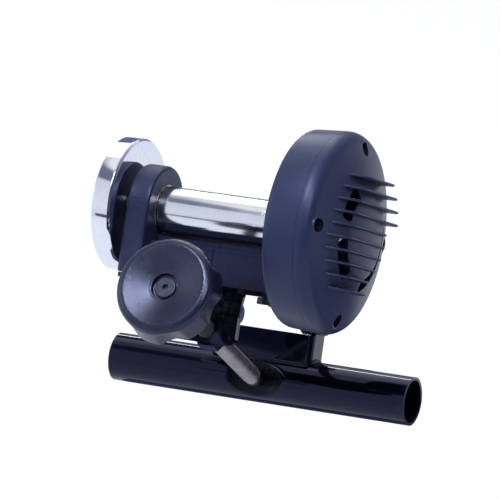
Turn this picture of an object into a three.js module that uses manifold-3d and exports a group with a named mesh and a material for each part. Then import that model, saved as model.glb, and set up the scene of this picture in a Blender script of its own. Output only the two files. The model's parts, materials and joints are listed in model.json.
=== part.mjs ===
// Roller resistance unit of an indoor bicycle trainer, on the cross tube that carries it.
//
// Frame: millimetres, origin on the axis of the cross tube, under the tension screw.
// +X runs along the tube and the roller towards the finned housing, +Z is up, and +Y points
// to the side where the bicycle's tyre meets the roller.
//
// Everything on the tube leans back by unitLean, so it is built in one leaning group.
// Inside that group y is "towards the tyre" and z is "up the unit". Round pieces are turned
// about their own x axis, which is the roller's, the pivot's or the screw's line.

import * as THREE from 'three';
import { mergeVertices } from 'three/addons/utils/BufferGeometryUtils.js';
import Module from 'manifold-3d';

const wasm = await Module();
wasm.setup();

// Clearances
const seatGap = 0.3;
const turnGap = 0.3;
const overrun = 2;
const hexSides = 6;

// Posture of the unit on the tube
const unitLean = THREE.MathUtils.degToRad(19.44);
const rollerForward = 93.5;
const rollerHeight = 100.3;

// Cross tube with the pressed dimple for the screw's foot
const tubeRadius = 15.9;
const tubeWall = 2;
const tubeLength = 212;
const dimpleDepth = 5;
const dimpleLength = 41;

// Bracket welded on the tube
const bracketSheet = 3;
const bracketWidth = 71.2;
const bracketForward = 10.5;
const webHeightLeft = 37.4;
const webHeightRight = 32.6;
const bendRadius = 4;
const pivotHeight = 39.5;
const earRadius = 7.4;

// Pivot bolts, M8
const pivotBoltRadius = 4;
const pivotHeadFlats = 12;
const pivotHeadThickness = 3.6;
const pivotNutThickness = 4;
const pivotThreadPastNut = 0.3;
const pivotWasherRadius = 7;
const pivotWasherThickness = 1;
const pivotBushWall = 1.2;
const pivotBushFlange = 0.8;
const pivotBushFlangeRadius = 7;

// Swing bracket: a seat plate under the cradle, a front plate and two arms back to the pivot
const swingSheet = 3;
const swingArmHub = 7;
const seatPlateLeft = 58.5;
const seatPlateRight = 50.8;
const seatPlateFront = 26;
const seatPlateBack = 24;
const swingArmFront = 9;
const swingArmRoot = 13;
const swingArmDrop = 4.6;
const swingArmDepth = 12;
const frontPlateBack = 10.5;
const frontPlateTopWidth = 48.2;
const frontPlateFootWidth = 43.2;
const frontPlateBelowScrew = 9.4;
const frontPlateFlange = 5;
const frontPlateCorner = 5;
const seatNotchGap = 1.5;

// Tension screw, M12, its nut and its foot
const screwDip = THREE.MathUtils.degToRad(18.3);
const screwRadius = 6;
const screwReach = 169.5;
const screwContactDrop = 1.5;
const footLength = 9;
const footRadius = 5.6;
const footPinRadius = 2.4;
const footPinLength = 7;
const tensionNutFlats = 19;
const tensionNutThickness = 10;

// Tension knob
const knobRadius = 32;
const knobBackRadius = 34;
const knobThickness = 19.5;
const knobRimWidth = 3;
const knobEdgeRound = 4;
const knobDishDepth = 5;
const knobRecessRadius = 8.6;
const knobRecessDepth = 3;
const knobLobes = 6;
const knobScallopRadius = 15;
const knobScallopDepth = 4.6;
const knobScallopSetback = 5;
const knobPhase = THREE.MathUtils.degToRad(19);
const knobHubRadius = 11;
const knobHubLength = 5;
const capScrewRadius = 3;
const capScrewHeadRadius = 6.7;
const capScrewHeadThickness = 3.6;
const capScrewLength = 24;
const capScrewHexFlats = 4;
const capScrewHexDepth = 2.4;

// Roller, axle and flywheel
const rollerRadius = 15;
const rollerLength = 86.4;
const rollerChamfer = 1.2;
const axleRadius = 6;
const flywheelRadius = 43;
const flywheelThickness = 13.2;
const flywheelChamfer = 1.4;
const flywheelStandOff = 3.9;
const flywheelRecessRadius = 30;
const flywheelRecessDepth = 3;
const spacerWall = 3;
const axleNutFlats = 18;
const axleNutThickness = 7;
const axleWasherRadius = 12;
const axleWasherThickness = 2;
const axlePastNut = 3;

// Ball bearings, 12 by 32 by 10, with a seal on the side that faces the roller
const bearingRadius = 16;
const bearingWidth = 10;
const bearingPitchRadius = 11;
const bearingBallRadius = 2.97;
const bearingGrooveGap = 0.23;
const bearingLand = 1.6;
const bearingCageWall = 0.8;
const bearingCageWidth = 3;
const bearingBalls = 7;
const sealThickness = 0.8;
const sealRebate = 0.5;

// Cradle: two castings with a bearing arm each
const armRadius = 27.5;
const armThickness = 15.5;
const armBevel = 2;
const cradleFront = 15;
const cradleBack = 20;
const cradleTopFront = 20.5;
const cradleTopBack = 13.5;
const cradleLedge = 8.5;
const cradleRound = 2.5;
const cradleBottom = 43.3;
const seamStep = 0.7;
const cradleBevel = 1;
const troughRadius = 18;
const cradleBoltRadius = 3;
const cradleBoltBite = 14;
const cradleBoltHeadFlats = 10;
const cradleBoltHeadThickness = 4.4;
const cradleBoltAside = 38;
const cradleBoltFront = 8;
const cradleBoltBack = 13;
const axleHoleGap = 2;
const armPlateThickness = 7.5;
const armBossGap = 0.5;

// Housing: back shell and finned cover
const housingRadius = 64.6;
const housingWall = 3;
const shellDraft = 1.6;
const shellBackRound = 5;
const shellDepth = 23.4;
const shellHoleRadius = 13;
const shellScrewCircle = 20;
const shellScrewRadius = 2.5;
const shellScrewBite = 9;
const shellScrewHeadRadius = 4.6;
const shellScrewHeadThickness = 2.6;
const shellScrews = 3;
const coverRim = 1.2;
const coverShoulder = 9;
const coverConeAngle = THREE.MathUtils.degToRad(19.5);
const coverDomeRadius = 26.5;
const coverDomeRise = 3.2;
const coverLip = 5;
const coverLipWall = 2;
const coverTwist = THREE.MathUtils.degToRad(3);
const coverScrewInset = 9.8;
const coverScrewRadius = 2;
const coverScrewHeadRadius = 3.6;
const coverScrewHeadThickness = 2.2;
const coverScrewBite = 8;
const coverScrews = 4;
const counterboreRadius = 4.4;
const counterboreWall = 1.4;
const coverBossLength = 11;
const ventInnerRadius = 27.5;
const ventOuterRadius = 36;
const ventAngles = [
  [THREE.MathUtils.degToRad(126), THREE.MathUtils.degToRad(167)],
  [THREE.MathUtils.degToRad(188), THREE.MathUtils.degToRad(237)],
  [THREE.MathUtils.degToRad(281), THREE.MathUtils.degToRad(377)],
];
const finCount = 10;
const finTopInset = 9;
const finThickness = 1.5;
const finInset = 9.8;
const finInsetLow = 6.8;
const finProud = 2;
const longFins = 4;

// Brake: magnets on a carrier, conductor disc and fan on the axle
const carrierPostGap = 3.7;
const carrierIslandGap = 1;
const carrierThickness = 2;
const magnetInset = 1;
const magnetThickness = 5;
const magnets = 6;
const brakeDiscThickness = 2.5;
const brakeAirGap = 1.4;
const fanInset = 1;
const fanPlate = 2;
const fanBladeHeight = 7;
const fanBladeSheet = 1.6;
const fanBlades = 9;

// Roundness of the turned pieces
const fineSides = 40;
const middleSides = 24;
const coarseSides = 12;
const ballSides = 6;

// Values that several pieces share
const rollerHalf = rollerLength / 2;
const bearingFace = rollerHalf + seatGap;
const bearingOutside = bearingFace + bearingWidth;
const armInside = rollerHalf + 2 * seatGap;
const armOutside = armInside + armThickness;
const armPlateOutside = armInside + armPlateThickness;
const flywheelFace = -armOutside - flywheelStandOff;
const flywheelBack = flywheelFace - flywheelThickness;
const shellBack = armPlateOutside + seatGap;
const seamX = shellBack + shellDepth;
const coverSide = seamX + seatGap + coverRim;
const coneRadius = housingRadius - coverShoulder * (1 - Math.sin(coverConeAngle));
const coneX = coverSide + coverShoulder * Math.cos(coverConeAngle);
const domeX = coneX + (coneRadius - coverDomeRadius) * Math.tan(coverConeAngle);
const crestX = domeX + coverDomeRise;
const plateTop = rollerHeight - cradleBottom - seatGap;
const plateBottom = plateTop - swingSheet;
const frontPlateFace = -rollerForward - frontPlateBack;
const footSeatY = -(tubeRadius - dimpleDepth) - 2 * seatGap;
const footSeatZ = -screwContactDrop;
const screwAtPlate = footSeatZ + (footSeatY - frontPlateFace) * Math.tan(screwDip);
const frontPlateDrop = plateTop - screwAtPlate + frontPlateBelowScrew;
const earOuter = bracketWidth / 2;
const earInner = earOuter - bracketSheet;
const bushFlangeOuter = earInner - seatGap;
const swingArmOuter = bushFlangeOuter - pivotBushFlange - seatGap;
const swingArmInner = swingArmOuter - swingSheet;
const bushRadius = pivotBoltRadius + turnGap + pivotBushWall;
const hubRadius = axleRadius + spacerWall;
const recessInside = armRadius + armBossGap;
const islandTop = armOutside + seatGap + housingWall;
const coverScrewCircle = housingRadius - coverScrewInset;
const bossRadius = counterboreRadius + counterboreWall;
const postRadius = counterboreRadius + counterboreWall / 2;
const finReach = coverScrewCircle - finInset;
const finReachLow = coverScrewCircle - finInsetLow;
const finPitch = (2 * (finReach - finTopInset)) / (finCount - 1);
const carrierRadius = coverScrewCircle - postRadius - carrierPostGap;
const carrierHoleRadius = recessInside + housingWall + carrierIslandGap;
const magnetCircle = (carrierRadius + carrierHoleRadius) / 2;
const magnetRadius = (carrierRadius - carrierHoleRadius) / 2 - magnetInset;
const brakeDiscRadius = carrierRadius;
const fanRadius = carrierRadius - fanInset;
const cradleBoltPlaces = [
  [-cradleBoltAside, -rollerForward - cradleBoltFront],
  [-cradleBoltAside, -rollerForward + cradleBoltBack],
  [cradleBoltAside, -rollerForward - cradleBoltFront],
  [cradleBoltAside, -rollerForward + cradleBoltBack],
];

// Materials
const paintedSteel = { color: 0x08080b, roughness: 0.16, metalness: 0.0 };
const satinCasting = { color: 0x15161b, roughness: 0.5, metalness: 0.0 };
const satinPlastic = { color: 0x14151b, roughness: 0.46, metalness: 0.0 };
const grainedPlastic = { color: 0x17181d, roughness: 0.6, metalness: 0.0 };
const chrome = { color: 0xdfe2e8, roughness: 0.06, metalness: 1.0 };
const groundSteel = { color: 0xc9ccd2, roughness: 0.22, metalness: 1.0 };
const threadSteel = { color: 0xb7aea2, roughness: 0.34, metalness: 1.0 };
const zincSteel = { color: 0xb4b3ae, roughness: 0.35, metalness: 1.0 };
const blackBolt = { color: 0x24252a, roughness: 0.4, metalness: 0.6 };
const bearingSteel = { color: 0x9c9287, roughness: 0.3, metalness: 1.0 };
const nylon = { color: 0xd9d4c6, roughness: 0.5, metalness: 0.0 };
const aluminium = { color: 0xb9bbbf, roughness: 0.35, metalness: 1.0 };
const magnetNickel = { color: 0x8f9297, roughness: 0.28, metalness: 1.0 };

// Axis mappings: an outline drawn in x and y becomes one in y and z, or one in x and z
const sideOn = new THREE.Matrix4().makeBasis(
  new THREE.Vector3(0, 1, 0),
  new THREE.Vector3(0, 0, 1),
  new THREE.Vector3(1, 0, 0),
);
const frontOn = new THREE.Matrix4().makeBasis(
  new THREE.Vector3(1, 0, 0),
  new THREE.Vector3(0, 0, 1),
  new THREE.Vector3(0, -1, 0),
);
const latheToX = new THREE.Matrix4().makeBasis(
  new THREE.Vector3(0, 1, 0),
  new THREE.Vector3(1, 0, 0),
  new THREE.Vector3(0, 0, -1),
);

function signedVolume(positions, index) {
  const a = new THREE.Vector3();
  const b = new THREE.Vector3();
  const c = new THREE.Vector3();
  let total = 0;
  for (let i = 0; i < index.length; i += 3) {
    a.fromArray(positions, 3 * index[i]);
    b.fromArray(positions, 3 * index[i + 1]);
    c.fromArray(positions, 3 * index[i + 2]);
    total += a.dot(b.cross(c));
  }
  return total;
}

// A closed geometry as a solid, with its faces pointing out
function solid(geometry) {
  const bare = geometry.clone();
  bare.deleteAttribute('normal');
  bare.deleteAttribute('uv');
  const merged = mergeVertices(bare);
  const vertProperties = new Float32Array(merged.attributes.position.array);
  const triVerts = new Uint32Array(merged.index.array);
  if (signedVolume(vertProperties, triVerts) < 0) {
    triVerts.reverse();
  }
  return new wasm.Manifold(new wasm.Mesh({ numProp: 3, vertProperties, triVerts }));
}

function move(body, x, y, z) {
  return body.translate([x, y, z]);
}

// Rotation about the x axis, angle in radians
function turnX(body, angle) {
  return body.rotate([THREE.MathUtils.radToDeg(angle), 0, 0]);
}

// Solid of revolution about x; the profile's points are [x, radius]
function turned(profile, sides = middleSides) {
  const points = profile.map(([x, radius]) => new THREE.Vector2(radius, x));
  return solid(new THREE.LatheGeometry(points, sides).applyMatrix4(latheToX));
}

function disc(from, to, radius, sides = middleSides) {
  return turned([[from, 0], [from, radius], [to, radius], [to, 0]], sides);
}

function ring(from, to, outer, inner, sides = middleSides) {
  return turned([[from, inner], [from, outer], [to, outer], [to, inner], [from, inner]], sides);
}

function block(fromX, toX, fromY, toY, fromZ, toZ) {
  const body = solid(new THREE.BoxGeometry(toX - fromX, toY - fromY, toZ - fromZ));
  return move(body, (fromX + toX) / 2, (fromY + toY) / 2, (fromZ + toZ) / 2);
}

// Outline in y and z, extruded from one x to another, with optional bevelled edges
function sidePlate(shape, from, to, bevel = 0) {
  const geometry = new THREE.ExtrudeGeometry(shape, {
    depth: to - from - 2 * bevel,
    bevelEnabled: bevel > 0,
    bevelThickness: bevel,
    bevelSize: bevel,
    bevelOffset: -bevel,
    bevelSegments: 2,
    curveSegments: 16,
  });
  return move(solid(geometry.applyMatrix4(sideOn)), from + bevel, 0, 0);
}

// Outline in x and z, extruded from one y to another
function frontPlate(shape, from, to) {
  const options = { depth: to - from, bevelEnabled: false, curveSegments: 10 };
  const geometry = new THREE.ExtrudeGeometry(shape, options);
  return move(solid(geometry.applyMatrix4(frontOn)), 0, to, 0);
}

function polygon(points) {
  return new THREE.Shape(points.map(([a, b]) => new THREE.Vector2(a, b)));
}

// Distance from a hexagon's middle to its corners
function hexCorner(flats) {
  return flats / 2 / Math.cos(Math.PI / hexSides);
}

// Hexagonal prism along x
function hexagon(from, to, flats) {
  const shape = new THREE.Shape();
  const corner = hexCorner(flats);
  for (let i = 0; i < hexSides; i += 1) {
    const angle = (i * 2 * Math.PI) / hexSides;
    shape[i === 0 ? 'moveTo' : 'lineTo'](corner * Math.cos(angle), corner * Math.sin(angle));
  }
  return sidePlate(shape, from, to);
}

// Hexagon head or nut with its corners chamfered at both faces
function hexHead(from, to, flats) {
  const corner = hexCorner(flats);
  const chamfer = corner - flats / 2;
  const cone = turned([
    [from, 0],
    [from, flats / 2],
    [from + chamfer / 2, corner],
    [to - chamfer / 2, corner],
    [to, flats / 2],
    [to, 0],
  ], coarseSides);
  return hexagon(from, to, flats).intersect(cone);
}

// U-shaped section open towards +y, in x and y, with rounded bends
function channelSection(width, depth, sheet, radius) {
  const half = width / 2;
  const inner = half - sheet;
  const innerRadius = radius - sheet;
  const shape = new THREE.Shape();
  shape.moveTo(-half, depth);
  shape.lineTo(-half, radius);
  shape.absarc(-half + radius, radius, radius, Math.PI, 1.5 * Math.PI);
  shape.lineTo(half - radius, 0);
  shape.absarc(half - radius, radius, radius, -Math.PI / 2, 0);
  shape.lineTo(half, depth);
  shape.lineTo(inner, depth);
  shape.lineTo(inner, radius);
  shape.absarc(inner - innerRadius, radius, innerRadius, 0, -Math.PI / 2, true);
  shape.lineTo(-inner + innerRadius, sheet);
  shape.absarc(-inner + innerRadius, radius, innerRadius, -Math.PI / 2, -Math.PI, true);
  shape.lineTo(-inner, depth);
  return shape;
}

function channel(width, depth, sheet, radius, height) {
  const section = channelSection(width, depth, sheet, radius);
  return solid(new THREE.ExtrudeGeometry(section, { depth: height, bevelEnabled: false, curveSegments: 5 }));
}

// Copies of one solid round the x axis, joined together
function aroundX(body, count, phase = 0) {
  let all = turnX(body, phase);
  for (let i = 1; i < count; i += 1) {
    all = all.add(turnX(body, phase + (i * 2 * Math.PI) / count));
  }
  return all;
}

function addPart(parent, name, body, finish) {
  const result = body.getMesh();
  const geometry = new THREE.BufferGeometry();
  geometry.setAttribute('position', new THREE.BufferAttribute(result.vertProperties, 3));
  geometry.setIndex(new THREE.BufferAttribute(result.triVerts, 1));
  geometry.computeVertexNormals();
  const mesh = new THREE.Mesh(geometry, new THREE.MeshStandardMaterial(finish));
  mesh.name = name;
  parent.add(mesh);
  return mesh;
}

function addGroup(parent, x, y, z) {
  const group = new THREE.Group();
  group.position.set(x, y, z);
  parent.add(group);
  return group;
}

// The tube is pressed in by a round tool, so its wall keeps its thickness in the dimple
function crossTube() {
  const half = tubeLength / 2;
  const toolRadius = (dimpleLength ** 2 / 4 + dimpleDepth ** 2) / (2 * dimpleDepth);
  const toolAt = -(tubeRadius - dimpleDepth) - toolRadius;
  const tool = (radius) => {
    const roller = solid(new THREE.CylinderGeometry(radius, radius, 4 * tubeRadius, fineSides * 2));
    return move(roller.rotate([90, 0, 0]), 0, toolAt, 0);
  };
  const outside = disc(-half, half, tubeRadius, fineSides).subtract(tool(toolRadius));
  const inside = disc(-half - overrun, half + overrun, tubeRadius - tubeWall, fineSides);
  return outside.subtract(inside.subtract(tool(toolRadius + tubeWall)));
}

// Channel with two ears, seated on the crown of the tube
function frameBracket() {
  const top = pivotHeight + earRadius;
  const bent = channel(bracketWidth, bracketForward + earRadius, bracketSheet, bendRadius, top);
  const body = move(bent, 0, -bracketForward, 0);
  const webCut = polygon([
    [-earInner, webHeightLeft],
    [earInner, webHeightRight],
    [earInner, top + overrun],
    [-earInner, top + overrun],
  ]);
  const frontCorner = polygon([
    [-earOuter - overrun, webHeightLeft + bracketSheet],
    [-earInner, webHeightLeft],
    [-earInner, top + overrun],
    [-earOuter - overrun, top + overrun],
  ]);
  const ear = new THREE.Shape();
  ear.moveTo(-bracketForward, 0);
  ear.lineTo(earRadius, 0);
  ear.lineTo(earRadius, pivotHeight);
  ear.absarc(0, pivotHeight, earRadius, 0, Math.PI);
  ear.lineTo(-earRadius, webHeightRight);
  ear.lineTo(-bracketForward, webHeightRight);
  const ears = sidePlate(ear, -earOuter - overrun, earOuter + overrun);
  const hole = disc(-earOuter - overrun, earOuter + overrun, pivotBoltRadius + turnGap, coarseSides);
  const tube = disc(-earOuter - overrun, earOuter + overrun, tubeRadius + seatGap, fineSides);
  return body
    .intersect(ears)
    .subtract(frontPlate(webCut, -bracketForward - overrun, -bracketForward + bracketSheet + seatGap))
    .subtract(frontPlate(frontCorner, -bracketForward - overrun, -bracketForward + seatGap))
    .subtract(move(hole, 0, 0, pivotHeight))
    .subtract(tube);
}

// Pivot pieces for one side; side is 1 on the right and -1 on the left
function pivotBolt(side) {
  const headFrom = earOuter + seatGap;
  const nutEnd = swingArmInner - pivotWasherThickness - pivotNutThickness - 2 * seatGap;
  const threadEnd = nutEnd - pivotThreadPastNut;
  const head = hexHead(headFrom, headFrom + pivotHeadThickness, pivotHeadFlats);
  const shank = disc(threadEnd, headFrom + overrun, pivotBoltRadius, coarseSides);
  const bolt = head.add(shank);
  return side > 0 ? bolt : bolt.mirror([1, 0, 0]);
}

function pivotBush(side) {
  const bore = pivotBoltRadius + turnGap;
  const bush = turned([
    [swingArmInner, bore],
    [swingArmInner, bushRadius],
    [swingArmOuter + seatGap, bushRadius],
    [swingArmOuter + seatGap, pivotBushFlangeRadius],
    [bushFlangeOuter, pivotBushFlangeRadius],
    [bushFlangeOuter, bore],
    [swingArmInner, bore],
  ], coarseSides);
  return side > 0 ? bush : bush.mirror([1, 0, 0]);
}

function pivotWasher(side) {
  const to = swingArmInner - seatGap;
  const from = to - pivotWasherThickness;
  const washer = ring(from, to, pivotWasherRadius, pivotBoltRadius + turnGap, coarseSides);
  return side > 0 ? washer : washer.mirror([1, 0, 0]);
}

function pivotNut(side) {
  const to = swingArmInner - pivotWasherThickness - 2 * seatGap;
  const from = to - pivotNutThickness;
  const bore = disc(from - overrun, to + overrun, pivotBoltRadius + turnGap, coarseSides);
  const nut = turnX(hexHead(from, to, pivotHeadFlats), Math.PI / hexSides).subtract(bore);
  return side > 0 ? nut : nut.mirror([1, 0, 0]);
}

// Side arm of the swing bracket, from under the seat plate back and down to its hub on the pivot
function swingArm(from, to) {
  const rootY = -rollerForward + swingArmFront;
  const neckY = -swingArmHub - bracketSheet;
  const neckZ = pivotHeight + swingArmDrop;
  const shape = new THREE.Shape();
  shape.moveTo(-rollerForward + seatPlateBack, plateTop);
  shape.lineTo(rootY, plateTop);
  shape.lineTo(rootY, plateBottom - swingSheet);
  shape.lineTo(rootY + swingArmRoot, plateBottom - 2 * swingSheet);
  shape.lineTo(neckY, neckZ);
  shape.lineTo(-swingArmHub * Math.SQRT1_2, pivotHeight + swingArmHub * Math.SQRT1_2);
  shape.lineTo(0, pivotHeight);
  shape.lineTo(swingArmHub, pivotHeight);
  shape.quadraticCurveTo(swingArmHub, neckZ + swingArmDepth / 2, neckY, neckZ + swingArmDepth);
  const arm = sidePlate(shape, from, to);
  const hub = disc(from, to, swingArmHub, middleSides);
  return arm.add(move(hub, 0, 0, pivotHeight));
}

// Front plate of the swing bracket, narrower at its foot, with a flange down each side
function swingFront() {
  const height = frontPlateDrop;
  const half = frontPlateTopWidth / 2;
  const foot = frontPlateFootWidth / 2;
  const flanged = channel(frontPlateFootWidth, frontPlateFlange, swingSheet, bendRadius, height);
  const web = new THREE.Shape();
  web.moveTo(-half, height);
  web.lineTo(-foot, height / 2);
  web.lineTo(-foot, frontPlateCorner);
  web.absarc(-foot + frontPlateCorner, frontPlateCorner, frontPlateCorner, Math.PI, 1.5 * Math.PI);
  web.lineTo(foot - frontPlateCorner, 0);
  web.absarc(foot - frontPlateCorner, frontPlateCorner, frontPlateCorner, -Math.PI / 2, 0);
  web.lineTo(foot, height / 2);
  web.lineTo(half, height);
  const outline = frontPlate(web, -overrun, frontPlateFlange + overrun);
  const gussets = frontPlate(web, 0, swingSheet);
  const body = flanged.intersect(outline).add(gussets);
  return move(body, 0, frontPlateFace, plateTop - height);
}

// A solid on x, laid on the line of the tension screw
function alongScrew(body) {
  const dipped = body.rotate([0, 0, 90]).rotate([-THREE.MathUtils.radToDeg(screwDip), 0, 0]);
  return move(dipped, 0, footSeatY, footSeatZ);
}

function swingBracket() {
  const backY = -rollerForward + seatPlateBack;
  const frontY = -rollerForward - seatPlateFront;
  const plate = block(-seatPlateLeft, seatPlateRight, frontY, backY, plateBottom, plateTop);
  const notchHalf = frontPlateTopWidth / 2 + seatNotchGap;
  const notch = block(-notchHalf, notchHalf, frontY - overrun, frontPlateFace + swingSheet, 0, 2 * plateTop);
  const screwHole = alongScrew(disc(-screwReach, 0, screwRadius + turnGap * 2, coarseSides));
  const pivotHole = disc(-earOuter, earOuter, bushRadius + turnGap, coarseSides);
  let body = plate
    .subtract(notch)
    .add(swingFront())
    .add(swingArm(swingArmInner, swingArmOuter))
    .add(swingArm(-swingArmOuter, -swingArmInner));
  for (const [x, y] of cradleBoltPlaces) {
    const hole = disc(plateBottom - overrun, plateTop + overrun, cradleBoltRadius + turnGap, coarseSides);
    body = body.subtract(move(hole.rotate([0, -90, 0]), x, y, 0));
  }
  return body.subtract(screwHole).subtract(move(pivotHole, 0, 0, pivotHeight));
}

function cradleBolt() {
  const headTo = plateBottom - seatGap;
  const head = hexHead(headTo - cradleBoltHeadThickness, headTo, cradleBoltHeadFlats);
  const shank = disc(headTo - overrun / 2, plateTop + cradleBoltBite, cradleBoltRadius, coarseSides);
  return head.add(shank).rotate([0, -90, 0]);
}

// Pieces on the line of the tension screw; x is 0 where the foot meets the tube
function tensionScrew() {
  const from = -screwReach + capScrewHeadThickness + knobRecessDepth;
  const to = -footLength - seatGap;
  const body = turned([
    [from, 0],
    [from, screwRadius - screwRadius / 6],
    [from + screwRadius / 6, screwRadius],
    [to - screwRadius / 6, screwRadius],
    [to, screwRadius - screwRadius / 6],
    [to, 0],
  ]);
  const capBoreEnd = -screwReach + capScrewLength + overrun;
  const capBore = disc(from - overrun, capBoreEnd, capScrewRadius + turnGap, coarseSides);
  const pinBore = disc(to - footPinLength, to + overrun, footPinRadius + turnGap, coarseSides);
  return body.subtract(capBore).subtract(pinBore);
}

function screwFoot() {
  const profile = [[-footLength - footPinLength + seatGap, 0]];
  profile.push([-footLength - footPinLength + seatGap, footPinRadius]);
  profile.push([-footLength, footPinRadius]);
  profile.push([-footLength, footRadius]);
  const steps = 3;
  const crown = footRadius;
  for (let i = 0; i <= steps; i += 1) {
    const angle = (i / steps) * (Math.PI / 2);
    profile.push([-crown + crown * Math.sin(angle), i === steps ? 0 : footRadius * Math.cos(angle)]);
  }
  return turned(profile, middleSides);
}

function tensionNut() {
  const behindPlate = nutSeat();
  const nut = hexHead(behindPlate, behindPlate + tensionNutThickness, tensionNutFlats);
  const boreEnd = behindPlate + tensionNutThickness + overrun;
  const bore = disc(behindPlate - overrun, boreEnd, screwRadius + turnGap);
  return nut.subtract(bore);
}

// Distance from the foot at which the nut's rim just clears the back of the front plate
function nutSeat() {
  const along = (frontPlateFace + swingSheet - footSeatY) / Math.cos(screwDip);
  return along + hexCorner(tensionNutFlats) * Math.tan(screwDip) + seatGap;
}

// Knob with a raised rim, a dished face, a recess for the cap screw and scalloped sides
function tensionKnob() {
  const front = -screwReach - knobDishDepth;
  const face = -screwReach - knobRecessDepth / 2;
  const back = front + knobThickness;
  const round = knobRimWidth / 2;
  const rimTo = knobRadius - knobEdgeRound;
  const rimFrom = rimTo - knobRimWidth;
  const body = turned([
    [face, 0],
    [face, knobRecessRadius + round],
    [front + round, rimFrom - round],
    [front, rimFrom],
    [front, rimTo],
    [front + knobEdgeRound / 3, knobRadius - knobEdgeRound / 3],
    [front + knobEdgeRound, knobRadius],
    [back - round, knobBackRadius],
    [back, knobBackRadius - round],
    [back, knobHubRadius],
    [back + knobHubLength, knobHubRadius - round],
    [back + knobHubLength, 0],
  ], fineSides);
  const recess = disc(face - overrun, face + knobRecessDepth, knobRecessRadius);
  const screwBore = disc(screwTop(), back + knobHubLength + overrun, screwRadius + turnGap);
  const capBore = disc(face - overrun, back, capScrewRadius + turnGap, coarseSides);
  const seat = countersink(screwReach, capScrewHeadRadius, capScrewRadius, capScrewHeadThickness, turnGap);
  const at = knobBackRadius - knobScallopDepth + knobScallopRadius;
  const cutter = move(disc(front + knobScallopSetback, back + knobHubLength, knobScallopRadius), 0, at, 0);
  const scallops = aroundX(cutter, knobLobes, Math.PI - knobPhase + Math.PI / knobLobes);
  const bored = body.subtract(screwBore).subtract(capBore).subtract(seat.mirror([1, 0, 0]));
  return bored.subtract(recess).subtract(scallops);
}

function screwTop() {
  return -screwReach + capScrewHeadThickness + knobRecessDepth - seatGap;
}

// Conical seat of a countersunk head whose flat face is at the given x and looks towards +x
function countersink(face, headRadius, shankRadius, thickness, gap) {
  return turned([
    [face - thickness - gap, 0],
    [face - thickness - gap, shankRadius + gap],
    [face - gap, headRadius + gap],
    [face + gap + overrun, headRadius + gap],
    [face + gap + overrun, 0],
  ], coarseSides);
}

function knobCapScrew() {
  const top = -screwReach;
  const body = turned([
    [top, 0],
    [top, capScrewHeadRadius - turnGap],
    [top + turnGap, capScrewHeadRadius],
    [top + capScrewHeadThickness, capScrewRadius],
    [top + capScrewLength, capScrewRadius],
    [top + capScrewLength, 0],
  ]);
  return body.subtract(hexagon(top - overrun, top + capScrewHexDepth, capScrewHexFlats));
}

// Axle with everything that turns on it; x as in the leaning group
function axle() {
  const from = flywheelBack + flywheelRecessDepth - axleWasherThickness - axleNutThickness - axlePastNut;
  const to = fanNutTo + axlePastNut;
  const chamfer = axleRadius / 6;
  return turned([
    [from, 0],
    [from, axleRadius - chamfer],
    [from + chamfer, axleRadius],
    [to - chamfer, axleRadius],
    [to, axleRadius - chamfer],
    [to, 0],
  ]);
}

function rollerSleeve() {
  const from = -rollerHalf;
  const to = rollerHalf;
  const bore = axleRadius + turnGap;
  return turned([
    [from, bore],
    [from, rollerRadius - rollerChamfer],
    [from + rollerChamfer, rollerRadius],
    [to - rollerChamfer, rollerRadius],
    [to, rollerRadius - rollerChamfer],
    [to, bore],
    [from, bore],
  ], fineSides);
}

function flywheel() {
  const bore = axleRadius + turnGap;
  const floor = flywheelBack + flywheelRecessDepth;
  return turned([
    [floor, bore],
    [floor, flywheelRecessRadius],
    [flywheelBack, flywheelRecessRadius + flywheelChamfer],
    [flywheelBack, flywheelRadius - flywheelChamfer],
    [flywheelBack + flywheelChamfer, flywheelRadius],
    [flywheelFace - flywheelChamfer, flywheelRadius],
    [flywheelFace, flywheelRadius - flywheelChamfer],
    [flywheelFace, bore],
    [floor, bore],
  ], fineSides);
}

function axleNut(from) {
  const bore = disc(from - overrun, from + axleNutThickness + overrun, axleRadius + turnGap, coarseSides);
  return hexHead(from, from + axleNutThickness, axleNutFlats).subtract(bore);
}

// Half-round groove in a bearing ring, as profile points from one side to the other
function grooveArc(middle, outward) {
  const radius = bearingBallRadius + bearingGrooveGap;
  const reach = Math.acos(bearingLand / radius);
  const steps = 4;
  const points = [];
  for (let i = 0; i <= steps; i += 1) {
    const angle = -reach + (2 * reach * i) / steps;
    points.push([middle + radius * Math.sin(angle), bearingPitchRadius + outward * radius * Math.cos(angle)]);
  }
  return points;
}

// The bearings are drawn with their sealed face at x = 0 and the rest towards +x
function bearingOuterRing() {
  const land = bearingPitchRadius + bearingLand;
  return turned([
    [0, land + sealRebate],
    [sealThickness + seatGap, land + sealRebate],
    [sealThickness + seatGap, land],
    ...grooveArc(bearingWidth / 2, 1),
    [bearingWidth, land],
    [bearingWidth, bearingRadius],
    [0, bearingRadius],
    [0, land + sealRebate],
  ]);
}

function bearingInnerRing() {
  const land = bearingPitchRadius - bearingLand;
  const bore = axleRadius + turnGap;
  return turned([
    [0, land],
    ...grooveArc(bearingWidth / 2, -1),
    [bearingWidth, land],
    [bearingWidth, bore],
    [0, bore],
    [0, land],
  ]);
}

// Balls held in a ring cage
function bearingCage() {
  const cage = ring(
    bearingWidth / 2 - bearingCageWidth / 2,
    bearingWidth / 2 + bearingCageWidth / 2,
    bearingPitchRadius + bearingCageWall / 2,
    bearingPitchRadius - bearingCageWall / 2,
    coarseSides,
  );
  const ball = solid(new THREE.SphereGeometry(bearingBallRadius, ballSides, ballSides / 2));
  return cage.add(aroundX(move(ball, bearingWidth / 2, bearingPitchRadius, 0), bearingBalls));
}

function bearingSeal() {
  const outer = bearingPitchRadius + bearingLand + sealRebate - seatGap;
  const inner = bearingPitchRadius - bearingLand + seatGap;
  return ring(0, sealThickness, outer, inner);
}

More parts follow.
